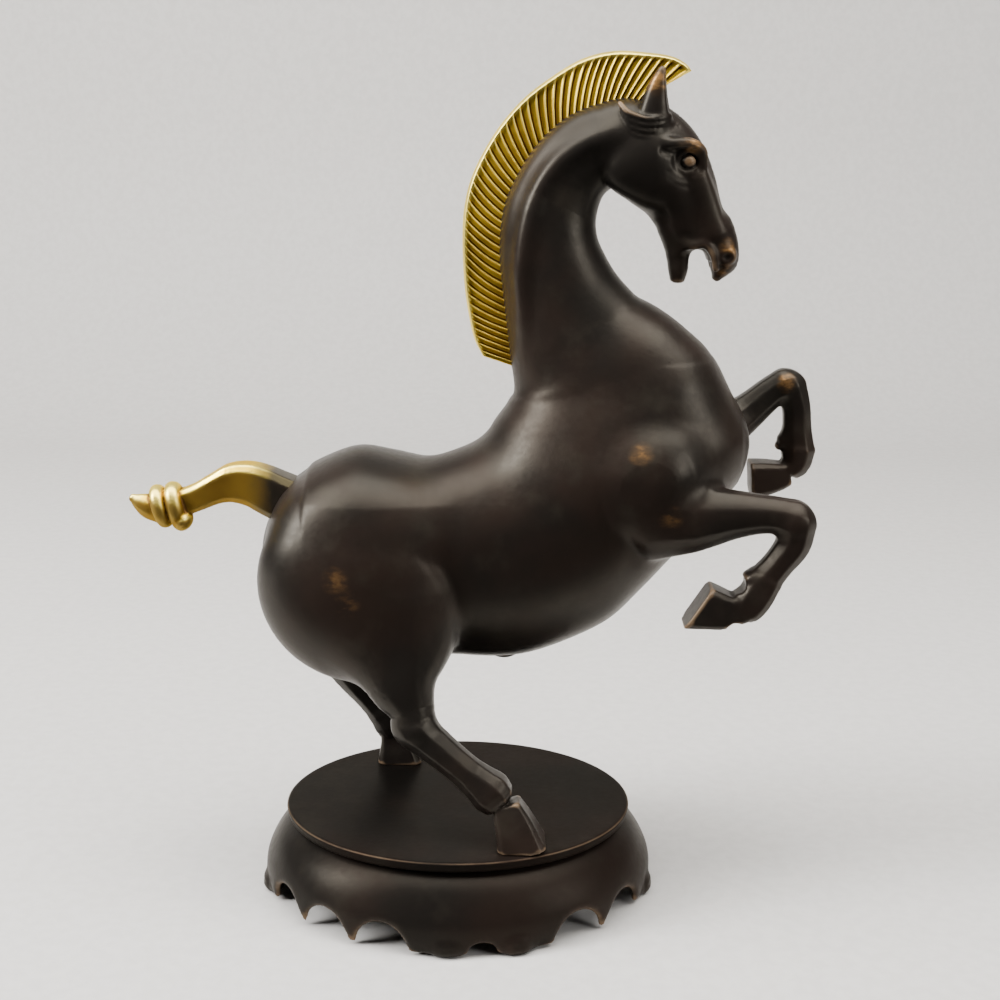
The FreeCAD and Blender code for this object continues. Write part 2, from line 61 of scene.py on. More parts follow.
FAR = 8.0          # value of a field away from every shape, mm
CLIP = 6.0         # largest distance handed to the mesher, mm
FACET = 0.965      # where the flats of a faceted section lie, as a share of its half sizes
SINK_SLOPE = 0.04  # depth that a skin sinks for each mm past the end of its piece
SINK_REACH = 8.0   # how far past that end the skin is kept, mm
BEND_REACH = 1.0   # reach of the smoothing that ridges and hollows are measured against, mm
OVAL = 8.0         # half length of the oval stand and plate less their half width, mm
TINY = 1e-6        # least slope divided by
LEAST = 1e-3       # least length or width divided by, mm

# -------- fields of distance


def spline(rows, per_span):
    """Smooth curve through rows of numbers, as a denser array of rows."""
    rows = np.array(rows, float)
    before = 2 * rows[:1] - rows[1:2]
    after = 2 * rows[-1:] - rows[-2:-1]
    knots = np.concatenate([before, rows, after])
    out = []
    for k in range(1, len(knots) - 2):
        a, b, c, d = knots[k - 1 : k + 3]
        for t in np.arange(per_span) / per_span:
            out.append(0.5 * (2 * b + (c - a) * t + (2 * a - 5 * b + 4 * c - d) * t**2
                              + (3 * b - a - 3 * c + d) * t**3))
    out.append(knots[-2])
    return np.array(out)


def reach_both_sides(shape):
    """Widens the box of a shape to hold its mirror image too."""
    right, left = shape.lo[1], shape.hi[1]
    shape.lo[1], shape.hi[1] = min(right, -left), max(left, -right)


class Ball:
    """Ellipsoid: centre, three half sizes, and a lean in the XZ plane in degrees."""

    def __init__(self, centre, half, lean=0.0, pair=False):
        self.centre = np.array(centre, float)
        self.half = np.array(half, float)
        self.pair = pair
        self.turn = math.radians(lean)
        reach = self.half.max()
        self.lo, self.hi = self.centre - reach, self.centre + reach
        if pair:
            reach_both_sides(self)

    def at(self, x, y, z):
        y = -np.abs(y) if self.pair else y
        x, y, z = x - self.centre[0], y - self.centre[1], z - self.centre[2]
        c, s = math.cos(self.turn), math.sin(self.turn)
        x, z = x * c + z * s, z * c - x * s
        a, b, c = self.half
        near = np.sqrt((x / a) ** 2 + (y / b) ** 2 + (z / c) ** 2)
        slope = np.sqrt((x / a**2) ** 2 + (y / b**2) ** 2 + (z / c**2) ** 2)
        return near * (near - 1.0) / np.maximum(slope, TINY)


class Sweep:
    """Round or faceted limb through rows of x, y, z, tilt, half long, half wide.

    The long axis lies in the XZ plane at the tilt in degrees, and the wide axis is square to it.
    `facets` goes from round to eight-sided, `chamfer` below 1 makes four of the sides narrow,
    `cap` is how far the ends bulge against their width, `dense` is the number of steps between
    two rows, and `spans` ends the sweep after so many spans of its rows.
    """

    def __init__(self, rows, facets=0.0, pair=False, dense=5, cap=1.0, chamfer=1.0, spans=None):
        self.rows = spline(rows, dense)
        if spans:
            self.rows = self.rows[: spans * dense + 1]
        self.facets, self.chamfer, self.cap, self.pair = facets, chamfer, cap, pair
        ways = np.gradient(self.rows[:, :3], axis=0)
        self.ways = ways / np.linalg.norm(ways, axis=1)[:, None]
        reach = self.rows[:, 4:6].max(axis=1)[:, None] + 1.0
        self.lo = (self.rows[:, :3] - reach).min(axis=0)
        self.hi = (self.rows[:, :3] + reach).max(axis=0)
        if pair:
            reach_both_sides(self)

    def nearest(self, p):
        """Place along the rows, whole and fractional, whose cross-section holds each point."""
        centres, ways = self.rows[:, :3].astype(np.float32), self.ways.astype(np.float32)
        best = np.full(p.shape[:-1], np.inf, np.float32)
        place = np.zeros_like(best)
        before = (p - centres[0]) @ ways[0]
        for k in range(len(centres) - 1):
            after = (p - centres[k + 1]) @ ways[k + 1]
            share = np.clip(before / np.maximum(before - after, LEAST), 0, 1)
            away = p - centres[k] - share[..., None] * (centres[k + 1] - centres[k])
            far = np.einsum("...i,...i", away, away)
            closer = far < best
            best = np.where(closer, far, best)
            place = np.where(closer, k + share, place)
            before = after
        return place

    def at(self, x, y, z):
        y = -np.abs(y) if self.pair else y
        p = np.stack(np.broadcast_arrays(x, y, z), axis=-1).astype(np.float32)
        place = self.nearest(p)
        low = np.minimum(place.astype(int), len(self.rows) - 2)
        part = (place - low)[..., None]
        row = self.rows[low] * (1 - part) + self.rows[low + 1] * part
        along = self.ways[low] * (1 - part) + self.ways[low + 1] * part
        along /= np.linalg.norm(along, axis=-1)[..., None]
        tilt = np.radians(row[..., 3])
        long_way = np.stack([np.cos(tilt), np.zeros_like(tilt), np.sin(tilt)], axis=-1)
        long_way -= np.einsum("...i,...i", long_way, along)[..., None] * along
        long_way /= np.linalg.norm(long_way, axis=-1)[..., None]
        wide_way = np.cross(long_way, along)
        q = p - row[..., :3]
        a, b = row[..., 4], row[..., 5]
        end = np.minimum(a, b) * self.cap
        u = np.einsum("...i,...i", q, long_way) / a
        v = np.einsum("...i,...i", q, wide_way) / b
        ends = np.einsum("...i,...i", q, along) / end
        near = np.sqrt(u**2 + v**2 + ends**2)
        slope = np.sqrt((u / a) ** 2 + (v / b) ** 2 + (ends / end) ** 2)
        ratio = near
        if self.facets:
            sides = np.maximum(np.abs(u), np.abs(v))
            slants = (np.abs(u) + np.abs(v)) * math.sqrt(0.5) * self.chamfer
            flat = np.sqrt(np.maximum(sides, slants) ** 2 + ends**2) / FACET
            ratio = near * (1 - self.facets) + flat * self.facets
        return (near * (ratio - 1.0) / np.maximum(slope, TINY)).astype(np.float32)


class Barrel:
    """Trunk given by rows of x, top z, waist z, bottom z and half width at the waist."""

    BLUNT = 0.92  # holds the distance back where the trunk tapers
    STEEP = 3.0   # how fast the distance grows past either end

    def __init__(self, rows):
        self.rows = spline(rows, 6)
        self.lo = np.array([self.rows[0, 0], -self.rows[:, 4].max(), self.rows[:, 3].min()])
        self.hi = np.array([self.rows[-1, 0], self.rows[:, 4].max(), self.rows[:, 1].max()])

    def at(self, x, y, z):
        stops = self.rows[:, 0]
        top, waist, bottom, half = (np.interp(x, stops, self.rows[:, k]) for k in (1, 2, 3, 4))
        rise = np.where(z > waist, top - waist, waist - bottom)
        v, u = y / half, (z - waist) / rise
        near = np.sqrt(u**2 + v**2)
        slope = np.sqrt((u / rise) ** 2 + (v / half) ** 2)
        inside = near * (near - 1.0) / np.maximum(slope, TINY) * self.BLUNT
        outside = np.maximum(np.maximum(stops[0] - x, x - stops[-1]), 0)
        return (inside + self.STEEP * outside).astype(np.float32)


class Dome:
    """Upright oval form given by rows of height, half length and half width."""

    BLUNT = 0.85  # holds the distance back where the wall slopes

    def __init__(self, rows):
        self.rows = spline(rows, 6)
        low, wide, deep = self.rows[0, 0], self.rows[:, 1].max(), self.rows[:, 2].max()
        self.lo, self.hi = np.array([-wide, -deep, low]), np.array([wide, deep, self.rows[-1, 0]])

    def at(self, x, y, z):
        stops = self.rows[:, 0]
        a, b = (np.interp(z, stops, self.rows[:, k]) for k in (1, 2))
        near = np.sqrt((x / a) ** 2 + (y / b) ** 2)
        slope = np.sqrt((x / a**2) ** 2 + (y / b**2) ** 2)
        wall = near * (near - 1.0) / np.maximum(slope, TINY) * self.BLUNT
        ends = np.maximum(stops[0] - z, z - stops[-1])
        return np.maximum(wall, ends).astype(np.float32)


class Beyond:
    """Everything past a plane, within a box: used to cut a sole flat."""

    def __init__(self, point, normal, reach):
        self.point = np.array(point, float)
        self.normal = np.array(normal, float) / np.linalg.norm(normal)
        self.lo, self.hi = self.point - reach, self.point + reach

    def at(self, x, y, z):
        n, p = self.normal, self.point
        return (-(n[0] * (x - p[0]) + n[1] * (y - p[1]) + n[2] * (z - p[2]))).astype(np.float32)


def bar(x, z, long, wide, near, far):
    """Straight sweep across the horse, from one y to another."""
    return Sweep([(x, near, z, 90, long, wide), (x, far, z, 90, long, wide)])


JOIN, CARVE = "join", "carve"


class Grid:
    """Block of samples of a distance field, built up shape by shape."""

    WIDEST_SEAM = 16.0  # widest rounded seam that a softness function may ask for, mm

    def __init__(self, lo, hi, step):
        self.lo, self.step = np.array(lo, float), step
        count = np.ceil((np.array(hi, float) - self.lo) / step).astype(int) + 1
        self.field = np.full(count, FAR, np.float32)

    def window(self, lo, hi):
        """Slices of the samples within a box, and their places."""
        first = np.maximum(np.floor((lo - self.lo) / self.step).astype(int), 0)
        last = np.minimum(np.ceil((hi - self.lo) / self.step).astype(int) + 1, self.field.shape)
        if np.any(last <= first):
            return None, None
        spans = tuple(slice(a, b) for a, b in zip(first, last))
        lines = [self.lo[i] + self.step * np.arange(first[i], last[i]) for i in range(3)]
        return spans, np.meshgrid(*lines, indexing="ij", sparse=True)

    def apply(self, kind, shape, soft):
        """Joins a shape to the field or carves it out, with a rounded seam of width `soft`."""
        widest = self.WIDEST_SEAM if callable(soft) else soft
        margin = widest * 0.7 + 2.5 * self.step
        spans, where = self.window(shape.lo - margin, shape.hi + margin)
        if spans is None:
            return
        width = soft(*where) if callable(soft) else max(soft, LEAST)
        old, new = self.field[spans], shape.at(*where)
        sign = -1.0 if kind == CARVE else 1.0
        lap = np.maximum(width - np.abs(sign * old - new), 0) / width
        self.field[spans] = sign * (np.minimum(sign * old, new) - lap**2 * width / 4)

    def past(self, normal, offset):
        """How far each sample lies past the plane normal . p = offset."""
        _, (x, y, z) = self.window(self.lo, self.lo + self.step * np.array(self.field.shape))
        return (normal[0] * x + normal[1] * y + normal[2] * z - offset).astype(np.float32)

    def cut(self, normal, offset):
        """Cuts off what lies past a plane."""
        self.field = np.maximum(self.field, self.past(normal, offset))

    def sink(self, normal, offset, proud=0.0):
        """Ends a piece past a plane, its skin sinking below its neighbour's on the way.

        Before the plane the skin stands `proud` mm above the neighbour's.
        """
        past = self.past(normal, offset)
        self.field += SINK_SLOPE * np.clip(past, -proud / SINK_SLOPE, SINK_REACH)
        self.field = np.maximum(self.field, past - SINK_REACH)

    def surface(self):
        """Points and four-sided faces of the zero level."""
        self.field[[0, -1]] = FAR
        self.field[:, [0, -1]] = FAR
        self.field[:, :, [0, -1]] = FAR
        volume = openvdb.FloatGrid(background=FAR)
        volume.copyFromArray(np.clip(self.field, -CLIP, CLIP))
        points, faces = volume.convertToQuads(isovalue=0.0)
        return points * self.step + self.lo, faces


def polish(points, faces, rounds):
    """Evens out small steps in a surface without shrinking it.

    Also gives back the function that averages values over the neighbours of each point.
    """
    ends = np.concatenate([faces[:, [k, (k + 1) % 4]] for k in range(4)])
    first, second = ends.T
    total = len(points)
    count = np.bincount(first, minlength=total) + np.bincount(second, minlength=total)

    def mean(values):
        out = np.zeros_like(values)
        for axis in range(values.shape[1]):
            out[:, axis] = np.bincount(first, values[second, axis], total)
            out[:, axis] += np.bincount(second, values[first, axis], total)
        return out / count[:, None]

    inward, outward = 0.5, 0.52
    for _ in range(rounds):
        points = points + inward * (mean(points) - points)
        points = points - outward * (mean(points) - points)
    return points, mean


# -------- meshes, and the relief their wear and painted shade are read from


def to_frame(points):
    """Millimetres from the stand's centre to metres in the part's frame."""
    return (np.asarray(points, float) + [STAND_X, 0, 0]) * MM


def new_object(name, points, faces):
    """Smooth mesh object in the scene, from points in mm."""
    mesh = bpy.data.meshes.new(name)
    mesh.from_pydata([tuple(p) for p in to_frame(points)], [], [tuple(f) for f in faces])
    mesh.validate()
    mesh.polygons.foreach_set("use_smooth", [True] * len(mesh.polygons))
    mesh.update()
    obj = bpy.data.objects.new(name, mesh)
    bpy.context.scene.collection.objects.link(obj)
    return obj


def note_bend(obj, values):
    """Keeps the relief of each point, or the painted light and shade noted in its place, which the
    materials read.
    """
    layer = obj.data.attributes.new("bend", "FLOAT", "POINT")
    layer.data.foreach_set("value", np.asarray(values, np.float32))


def bend_of(points, faces, mean, rounds):
    """How far each point stands out of (+) or sinks into (-) the surface around it, in mm."""
    quad = points[faces]
    flat = np.cross(quad[:, 2] - quad[:, 0], quad[:, 3] - quad[:, 1])
    normal = np.zeros_like(points)
    for corner in range(4):
        for axis in range(3):
            normal[:, axis] += np.bincount(faces[:, corner], flat[:, axis], len(points))
    normal /= np.maximum(np.linalg.norm(normal, axis=1), TINY)[:, None]
    smooth = points
    for _ in range(rounds):
        smooth = mean(smooth)
    out = np.einsum("ij,ij->i", points - smooth, normal)[:, None]
    for _ in range(3):
        out = mean(out)
    return out[:, 0]


def sculpt(name, grid):
    """Turns a field into a named mesh that knows its ridges and hollows."""
    points, faces = grid.surface()
    points, mean = polish(points, faces, 2)
    obj = new_object(name, points, faces)
    note_bend(obj, bend_of(points, faces, mean, round((BEND_REACH / grid.step) ** 2)))
    return obj


# -------- the horse in shapes


def flank_softness(x, y, z):
    """The haunch meets the barrel in a crease below and melts into the back above."""
    rise = np.clip((z - 100.0) / 16.0, 0, 1)
    return 0.8 + 9.0 * rise


def shoulder_softness(x, y, z):
    """The shoulder's edge is crisp behind the elbow and soft above."""
    rise = np.clip((z - 108.0) / 18.0, 0, 1)
    front = np.clip((x - 52.0) / 10.0, 0, 1)
    return 0.8 + 6.0 * np.maximum(rise, front)


def jowl_softness(x, y, z):
    """The cheek's round edge is crisp against the neck and melts into the face in front."""
    return 0.8 + 3.2 * np.clip((x - 43.0) / 8.0, 0, 1)


NECK = Sweep([
    (40, 0, 126, 10, 26, 20), (39.4, 0, 139, 10, 27.4, 19), (36.6, 0, 150, 11, 23.6, 16.6),
    (31.2, 0, 160.6, 9, 18.6, 13.8), (27, 0, 171, 4, 15.1, 11.8), (24.3, 0, 181.5, 0, 13.1, 10.6),
    (24.6, 0, 191, -7, 12.2, 9.8), (28.4, 0, 200.4, -24, 11.2, 9.2),
    (34.8, 0, 206.8, -54, 10.8, 9), (42, 0, 208.4, -80, 10.8, 9),
], dense=14)

# Edge along each side of the neck, between its side and the slope up to the mane.
NECK_RIDGE = Sweep([
    (19.6, -5.6, 154, 0, 0.4, 0.4), (18, -8, 167, 0, 0.8, 0.8), (17.2, -8.9, 176, 0, 1.2, 1.2),
    (18.4, -8.8, 186, 0, 1.3, 1.3), (21.4, -8.5, 196.6, 0, 1.3, 1.3),
    (26.6, -8.3, 204, 0, 1.3, 1.3), (33.4, -8.3, 208.8, 0, 1.2, 1.2),
    (40, -8.2, 211.2, 0, 0.8, 0.8),
], pair=True)

# Where each limb leaves the body: the rows of its root, shared by the body and the limb.
RIGHT_ARM = [
    (53, -15.5, 112.8, 90, 11.2, 9.4), (62, -18.8, 113.4, 89, 9.4, 8),
    (73, -20.4, 114.8, 90, 6.5, 5.8), (82, -20.5, 114.9, 88, 5, 4.7),
    (88.4, -20.5, 113.6, 62, 5.3, 4.9),
]
LEFT_ARM = [
    (64, 12.5, 125, 116, 10.4, 8.3), (72, 17, 128.8, 118, 7.9, 6.9),
    (80.5, 19.5, 133.6, 120, 5.4, 5.2), (87.4, 20, 139.4, 114, 4.5, 4.5),
    (91.4, 20, 141.9, 84, 4.7, 4.6),
]
RIGHT_THIGH = [
    (-17.6, -15, 84, 6, 17.4, 11.5), (-15.4, -19, 75, 4, 14.8, 9.8),
    (-13.8, -22.4, 67.2, 2, 9.8, 7.8), (-11.4, -24.6, 61, 4, 6.2, 5.8),
    (-11.2, -25.8, 57.6, 20, 5.9, 5.2),
]
LEFT_THIGH = [
    (-27, 15, 84, 0, 17.5, 11), (-29.6, 19, 74, 0, 13.6, 9.6), (-32.6, 22, 66, 4, 9.2, 7.6),
    (-35, 24, 59, 14, 6.6, 5.9),
]

# Trunk, haunches, shoulders, neck and the roots of the limbs.
BODY = [
    (JOIN, Barrel([
        (-40, 118.6, 100, 78, 17), (-28, 126.4, 102, 71, 21.4), (-18, 125.6, 103, 70, 21.8),
        (-8, 124.8, 103.5, 69.2, 21.6), (0, 127, 104.5, 69, 21.6), (10, 131.6, 107, 68.6, 22.6),
        (20, 136.5, 110, 69.8, 24), (32, 142, 114, 74.4, 25), (42, 147, 118, 80, 24.8),
        (50, 150, 122, 88, 23.2), (58, 151, 126, 97, 21), (66, 148, 129, 106, 17),
        (72, 142, 130, 114, 13.2), (76, 137, 130, 120, 9),
    ]), 0),
    # breast
    (JOIN, Ball((61.8, 0, 129.6), (17.3, 18.4, 16)), 5),
    (JOIN, Ball((56.3, 0, 145.6), (13.4, 15.6, 12.8)), 8),
    # rump and haunches
    (JOIN, Ball((-28.4, 0, 96.4), (25.6, 20, 28)), 8),
    (JOIN, Ball((-24.9, -11, 92.6), (29, 17.4, 28.2), lean=-7, pair=True), flank_softness),
    # neck, melting into the breast
    (JOIN, NECK, 11),
    (JOIN, NECK_RIDGE, 4),
    (JOIN, Ball((46.5, 0, 150), (12.5, 14.6, 13)), 7),
    # shoulders
    (JOIN, Ball((51, -11.6, 118.6), (17.6, 15.6, 17.4), lean=-18, pair=True),
     shoulder_softness),
    (JOIN, Ball((51.6, -15.4, 125.6), (13, 11.4, 11), lean=16, pair=True), 5),
    (JOIN, Sweep(RIGHT_ARM, facets=0.5, spans=2, cap=0.4), 3),
    (JOIN, Sweep(LEFT_ARM, facets=0.6, spans=2, cap=0.4), 3),
    (JOIN, Sweep(RIGHT_THIGH, facets=0.2, spans=3, cap=0.4), 6),
    (JOIN, Sweep(LEFT_THIGH, facets=0.2, spans=2, cap=0.4), 6),
    # folds at the flank and behind the elbow
    (CARVE, Sweep([
        (-13.5, -27.5, 109, 0, 0.6, 0.9), (-6.4, -26, 101.6, 0, 0.9, 1.4),
        (-1.2, -24.8, 93, 0, 1, 1.6), (1.4, -22.6, 83, 0, 1, 1.6), (1, -20, 76, 0, 0.8, 1.4),
    ], pair=True), 1.8),
    (CARVE, Sweep([
        (36.6, -27.4, 122, 0, 0.6, 0.8), (39.6, -27, 113, 0, 0.9, 1.4),
        (42.4, -26, 106, 0, 1, 1.5), (46.6, -24, 101.4, 0, 0.8, 1.3),
    ], pair=True), 1.6),
]

# Raised near foreleg, its hoof folded back under the fetlock.
RIGHT_FORELEG = [
    (JOIN, Sweep(RIGHT_ARM, facets=0.5), 0),
    (JOIN, Sweep([
        (89.6, -20.5, 112.4, 30, 5, 4.8), (88.7, -20.5, 106.8, -18, 4.6, 4.4),
        (85.2, -20.5, 101.5, -33, 4.1, 3.9), (82.2, -20.5, 97.6, -35, 4.4, 4.1),
    ], facets=0.8), 2.2),
    # fetlock and the hoof bent back under it
    (JOIN, Sweep([
        (82, -20.5, 97.4, -35, 4.5, 4.2), (79.6, -20.5, 93.4, -36, 5, 4.6),
        (77.6, -20.5, 90.2, -44, 4.8, 4.5), (76.2, -20.5, 88.8, -60, 4, 4.2),
    ], facets=0.85, cap=0.4, chamfer=0.9), 0.8),
    (JOIN, Ball((78.6, -20.5, 97.8), (2.8, 3.4, 2)), 1),
    (JOIN, Sweep([
        (76.6, -20.5, 89.2, -84, 3.5, 3.9), (72.4, -20.5, 88.8, -90, 4.7, 4.6),
        (67.6, -20.5, 89.6, -94, 5.8, 5.2), (57, -20.5, 92, -100, 8.4, 6),
    ], facets=0.95, cap=0.3, chamfer=0.8), 0.8),
    (CARVE, Beyond((63.7, -20.5, 90), (-0.83, 0, 0.56), 13), 0.4),
    # round valley above the pastern and a notch below it
    (CARVE, bar(73.9, 96.4, 2.7, 2.7, -30, -11), 0.4),
    (CARVE, bar(74.2, 83.7, 2.4, 2.4, -30, -11), 0.4),
]

# Raised far foreleg.
LEFT_FORELEG = [
    (JOIN, Sweep(LEFT_ARM, facets=0.6), 0),
    (JOIN, Sweep([
        (93, 20, 141.3, 40, 4.7, 4.6), (95, 20, 135.6, 6, 4, 4), (95.6, 20, 129, -4, 4.1, 3.8),
        (96.3, 20, 123.4, -8, 4.5, 4.2),
    ], facets=0.8), 1.2),
    # spur behind the fetlock, the fetlock and the hoof bent back under it
    (JOIN, Sweep([
        (94.4, 20, 128.4, 40, 2.4, 2.8), (91.9, 20, 125.4, 44, 2.3, 2.6),
        (90.8, 20, 124.4, 50, 1.3, 1.8),
    ], facets=0.5), 1.4),
    (JOIN, Sweep([
        (96.2, 20, 123.6, -10, 4.5, 4.3), (95.7, 20, 119.8, -34, 4.4, 4.2),
        (94, 20, 117.6, -70, 3.6, 4),
    ], facets=0.8, cap=0.4), 1),
    (JOIN, Sweep([
        (93.6, 20, 116.4, -78, 3.2, 4), (90.8, 20, 115.7, -86, 4.1, 4.4),
        (87, 20, 115.1, -91, 4.9, 4.8), (83, 20, 114.8, -92, 5.2, 5.1),
    ], facets=0.95, cap=0.1, chamfer=0.82), 0.5),
]

# Near hind leg below the thigh, standing.
RIGHT_HIND = [
    (JOIN, Sweep(RIGHT_THIGH, facets=0.2), 0),
    (JOIN, Sweep([
        (-12.2, -25.6, 59.6, 26, 2.6, 2.4), (-10.8, -26, 56.6, 34, 5.2, 4.7),
        (-6, -26.8, 52.6, 46, 5, 4.5), (0.6, -27.8, 47.2, 49, 4.5, 4.2),
        (6.4, -28.3, 42.2, 50, 4.8, 4.4),
    ], facets=0.85), 2.4),
    (JOIN, Sweep([
        (5.4, -28.2, 43.2, 50, 4.4, 4.1), (9.4, -28.7, 39.8, 46, 5.7, 5.1),
        (11.4, -28.9, 37.8, 42, 5.2, 4.8),
    ], facets=0.9, cap=0.6, chamfer=0.93), 0.9),
    # hoof: four broad faces with narrow ones between
    (JOIN, Sweep([
        (14.1, -29.2, 36.4, 22, 3.7, 4), (15.3, -29.6, 33, 12, 4.8, 4.8),
        (16.9, -30, 28.6, 4, 5.8, 5.8), (18.2, -30.2, 24, 0, 6.9, 6.9),
    ], facets=1.0, cap=0.1, chamfer=0.8), 0.4),
]

# Far hind leg below the thigh, standing.
LEFT_HIND = [
    (JOIN, Sweep(LEFT_THIGH, facets=0.2), 0),
    (JOIN, Sweep([
        (-35.2, 24.2, 57.6, 28, 6.2, 5), (-31.8, 25, 51.4, 33, 5, 4.6),
        (-27.6, 26, 45.4, 35, 4.3, 4.2), (-24, 26.7, 40.6, 35, 4.4, 4.2),
    ], facets=0.8), 2.4),
    (JOIN, Sweep([
        (-23.8, 26.7, 40.6, 34, 4.5, 4.4), (-21.4, 27, 37, 30, 5.3, 5),
        (-20.4, 27.1, 34.8, 24, 5, 4.8),
    ], facets=0.8, cap=0.6), 1),
    (JOIN, Sweep([
        (-20.4, 27.2, 34.8, 14, 3.8, 4), (-19.8, 27.3, 31.4, 8, 4.5, 4.5),
        (-19.2, 27.4, 28.2, 2, 5.7, 5.6), (-18.5, 27.5, 24, 0, 6.9, 6.5),
    ], facets=1.0, cap=0.1, chamfer=0.8), 0.4),
]

# Cranium, jowls, long face, open mouth, brows, eyes, nostrils, the lock of hair and the ears.
HEAD = [
    (JOIN, Sweep([
        (38.5, 0, 208, 100, 9.4, 8.4), (42, 0, 208.8, 90, 10.8, 9.2),
        (45.6, 0, 208.6, 76, 11.6, 9.6), (49.8, 0, 206.4, 55, 12.2, 9.6),
        (54.2, 0, 202, 44, 11.7, 8.8), (57.6, 0, 197, 34, 10.4, 7.6),
        (60.2, 0, 191.8, 25, 9.2, 6.6), (62.3, 0, 187.4, 19, 8.5, 6),
        (63.7, 0, 184.4, 15, 8.3, 5.7),
    ], cap=0.3), 3),
    (JOIN, Ball((46.6, -5.2, 204.2), (9.7, 6.1, 8.8), lean=24, pair=True), jowl_softness),
    (JOIN, Ball((50.6, -4.2, 198.2), (6.4, 4.7, 5.8), pair=True), 4),
    # bone running down the side of the nose, and the cheek below it
    (JOIN, Sweep([
        (62.4, -6.2, 200.4, 20, 2, 1.2), (64.8, -4.9, 194, 20, 2.2, 1.3),
        (67.6, -4.3, 187, 20, 1.9, 1.2),
    ], pair=True), 3.6),
    (JOIN, Sweep([
        (55, -7.4, 199, 40, 2.6, 1.2), (57.4, -6, 193, 40, 2.6, 1.2),
        (58.6, -4.8, 187.4, 40, 2.2, 1.1),
    ], pair=True), 2.4),
    # upper jaw and lips
    (JOIN, Sweep([
        (66.6, 0, 186.4, 20, 6, 5.3), (68.8, 0, 182.4, 10, 5.4, 5.4),
        (70.1, 0, 178.8, 0, 4.2, 4.8), (69.3, 0, 176, -8, 2.7, 3.4),
        (68.6, 0, 174.2, -10, 1.3, 2.2),
    ], cap=0.8), 2),
    # lower jaw
    (JOIN, Sweep([
        (58, 0, 186, 14, 4.6, 4.2), (58.3, 0, 180.4, 6, 3.2, 3.6), (58.4, 0, 176, 2, 2.6, 3.2),
        (58.3, 0, 173.6, 0, 2, 2.6),
    ], cap=0.5), 2),
    # the arch of the open mouth, right through
    (CARVE, bar(63.6, 178.4, 3.1, 2.2, -8, 8), 0.8),
    (CARVE, bar(63.5, 173.6, 3.8, 2.6, -8, 8), 0.6),
    # raised lip round the corner of the mouth
    (JOIN, Sweep([
        (57, -4, 188.6, 90, 0.9, 0.9), (58.6, -4.4, 184.6, 90, 1, 1), (61.4, -5, 183, 90, 1, 1),
        (64.8, -5.3, 183.2, 90, 1, 1), (67, -5.3, 180.6, 60, 1, 0.9),
        (67.8, -4.4, 176.8, 30, 0.8, 0.8),
    ], pair=True), 1.3),
    # brow ridge, from behind the eye over it and down its front
    (JOIN, Sweep([
        (51.6, -8.4, 209.4, 90, 0.9, 1), (55, -9.1, 208.9, 90, 1.5, 1.4),
        (59.4, -8.2, 208.7, 80, 1.8, 1.5), (62.6, -6.7, 207, 40, 1.6, 1.4),
        (63.4, -6.2, 203.4, 10, 1.2, 1.1),
    ], pair=True), 1.2),
    # socket, lid and eyeball
    (CARVE, Sweep([
        (52.6, -11, 207.2, 90, 0.5, 0.9), (55.8, -10.5, 206.6, 90, 0.8, 1.2),
        (60, -8.8, 206.8, 90, 0.7, 1.1),
    ], pair=True), 1.2),
    (CARVE, Ball((59.2, -9.7, 204.5), (3.7, 1.8, 3.1), lean=-10, pair=True), 1.2),
    (JOIN, Sweep([
        (55.8, -7.8, 204, 0, 0.4, 0.5), (57.2, -8.3, 206.3, 0, 0.55, 0.6),
        (59.6, -8.1, 207.2, 0, 0.6, 0.6), (61.9, -7.2, 205.8, 0, 0.5, 0.6),
        (62.1, -7, 203.2, 0, 0.4, 0.5), (60, -7.6, 201.6, 0, 0.45, 0.5),
        (57.4, -8, 202.2, 0, 0.4, 0.5), (55.8, -7.8, 204, 0, 0.4, 0.5),
    ], pair=True, dense=3), 0.6),
    (JOIN, Ball((59.4, -7.6, 204.5), (1.9, 1.4, 1.6), pair=True), 0.3),
    # nostril: a raised rim round a pit
    (JOIN, Ball((70.7, -3.8, 180.3), (2.6, 2, 2.5), pair=True), 0.6),
    (CARVE, Ball((70.7, -6.3, 179.8), (1.9, 1.6, 1.7), pair=True), 0.5),
    # wrinkles under the eye
    *((CARVE, Sweep([
        (54.6, -10.8, 202.0 - drop, 90, 0.3, 0.5), (57, -10, 200.2 - drop, 90, 0.4, 0.6),
        (60, -8.6, 199.6 - drop, 90, 0.3, 0.5),
    ], pair=True), 0.9) for drop in (0, 1.5)),
    # lock of hair swept back below the ear, in four strands
    *((JOIN, Sweep([
        (41.6 + 0.3 * strand, -7.6, 218.8 - 0.75 * strand, 60, 0.6, 0.6),
        (43.8 + 0.2 * strand, -9.1, 216.4 - 1.5 * strand, 80, 0.85, 0.85),
        (48, -9.6, 215.0 - 1.5 * strand, 90, 0.85, 0.85),
        (51.8, -8.6, 215.2 - 1.5 * strand, 95, 0.8, 0.8),
        (54.2 - 0.3 * strand, -6.8, 215.8 - 1.5 * strand, 100, 0.5, 0.5),
    ], pair=True), 0.2) for strand in range(4)),
    # ears: pricked cones with a hollow front
    (JOIN, Sweep([
        (50.4, -5.6, 214.6, 0, 4.9, 3.6), (50.7, -6.1, 218.6, -4, 3.8, 3),
        (51.1, -6.4, 222, -8, 2.9, 2.4), (51.6, -6.6, 224.8, -10, 2, 1.8),
        (52.2, -6.7, 227.3, -14, 0.9, 0.9),
    ], pair=True, cap=0.8), 1),
    (CARVE, Sweep([
        (55, -7.2, 217.4, 0, 1.1, 1.9), (54.5, -7.2, 220.6, 0, 1.2, 1.8),
        (54, -7.2, 223.4, 0, 0.9, 1.4), (53.5, -7.1, 225.6, 0, 0.4, 0.7),
    ], pair=True), 0.5),
]


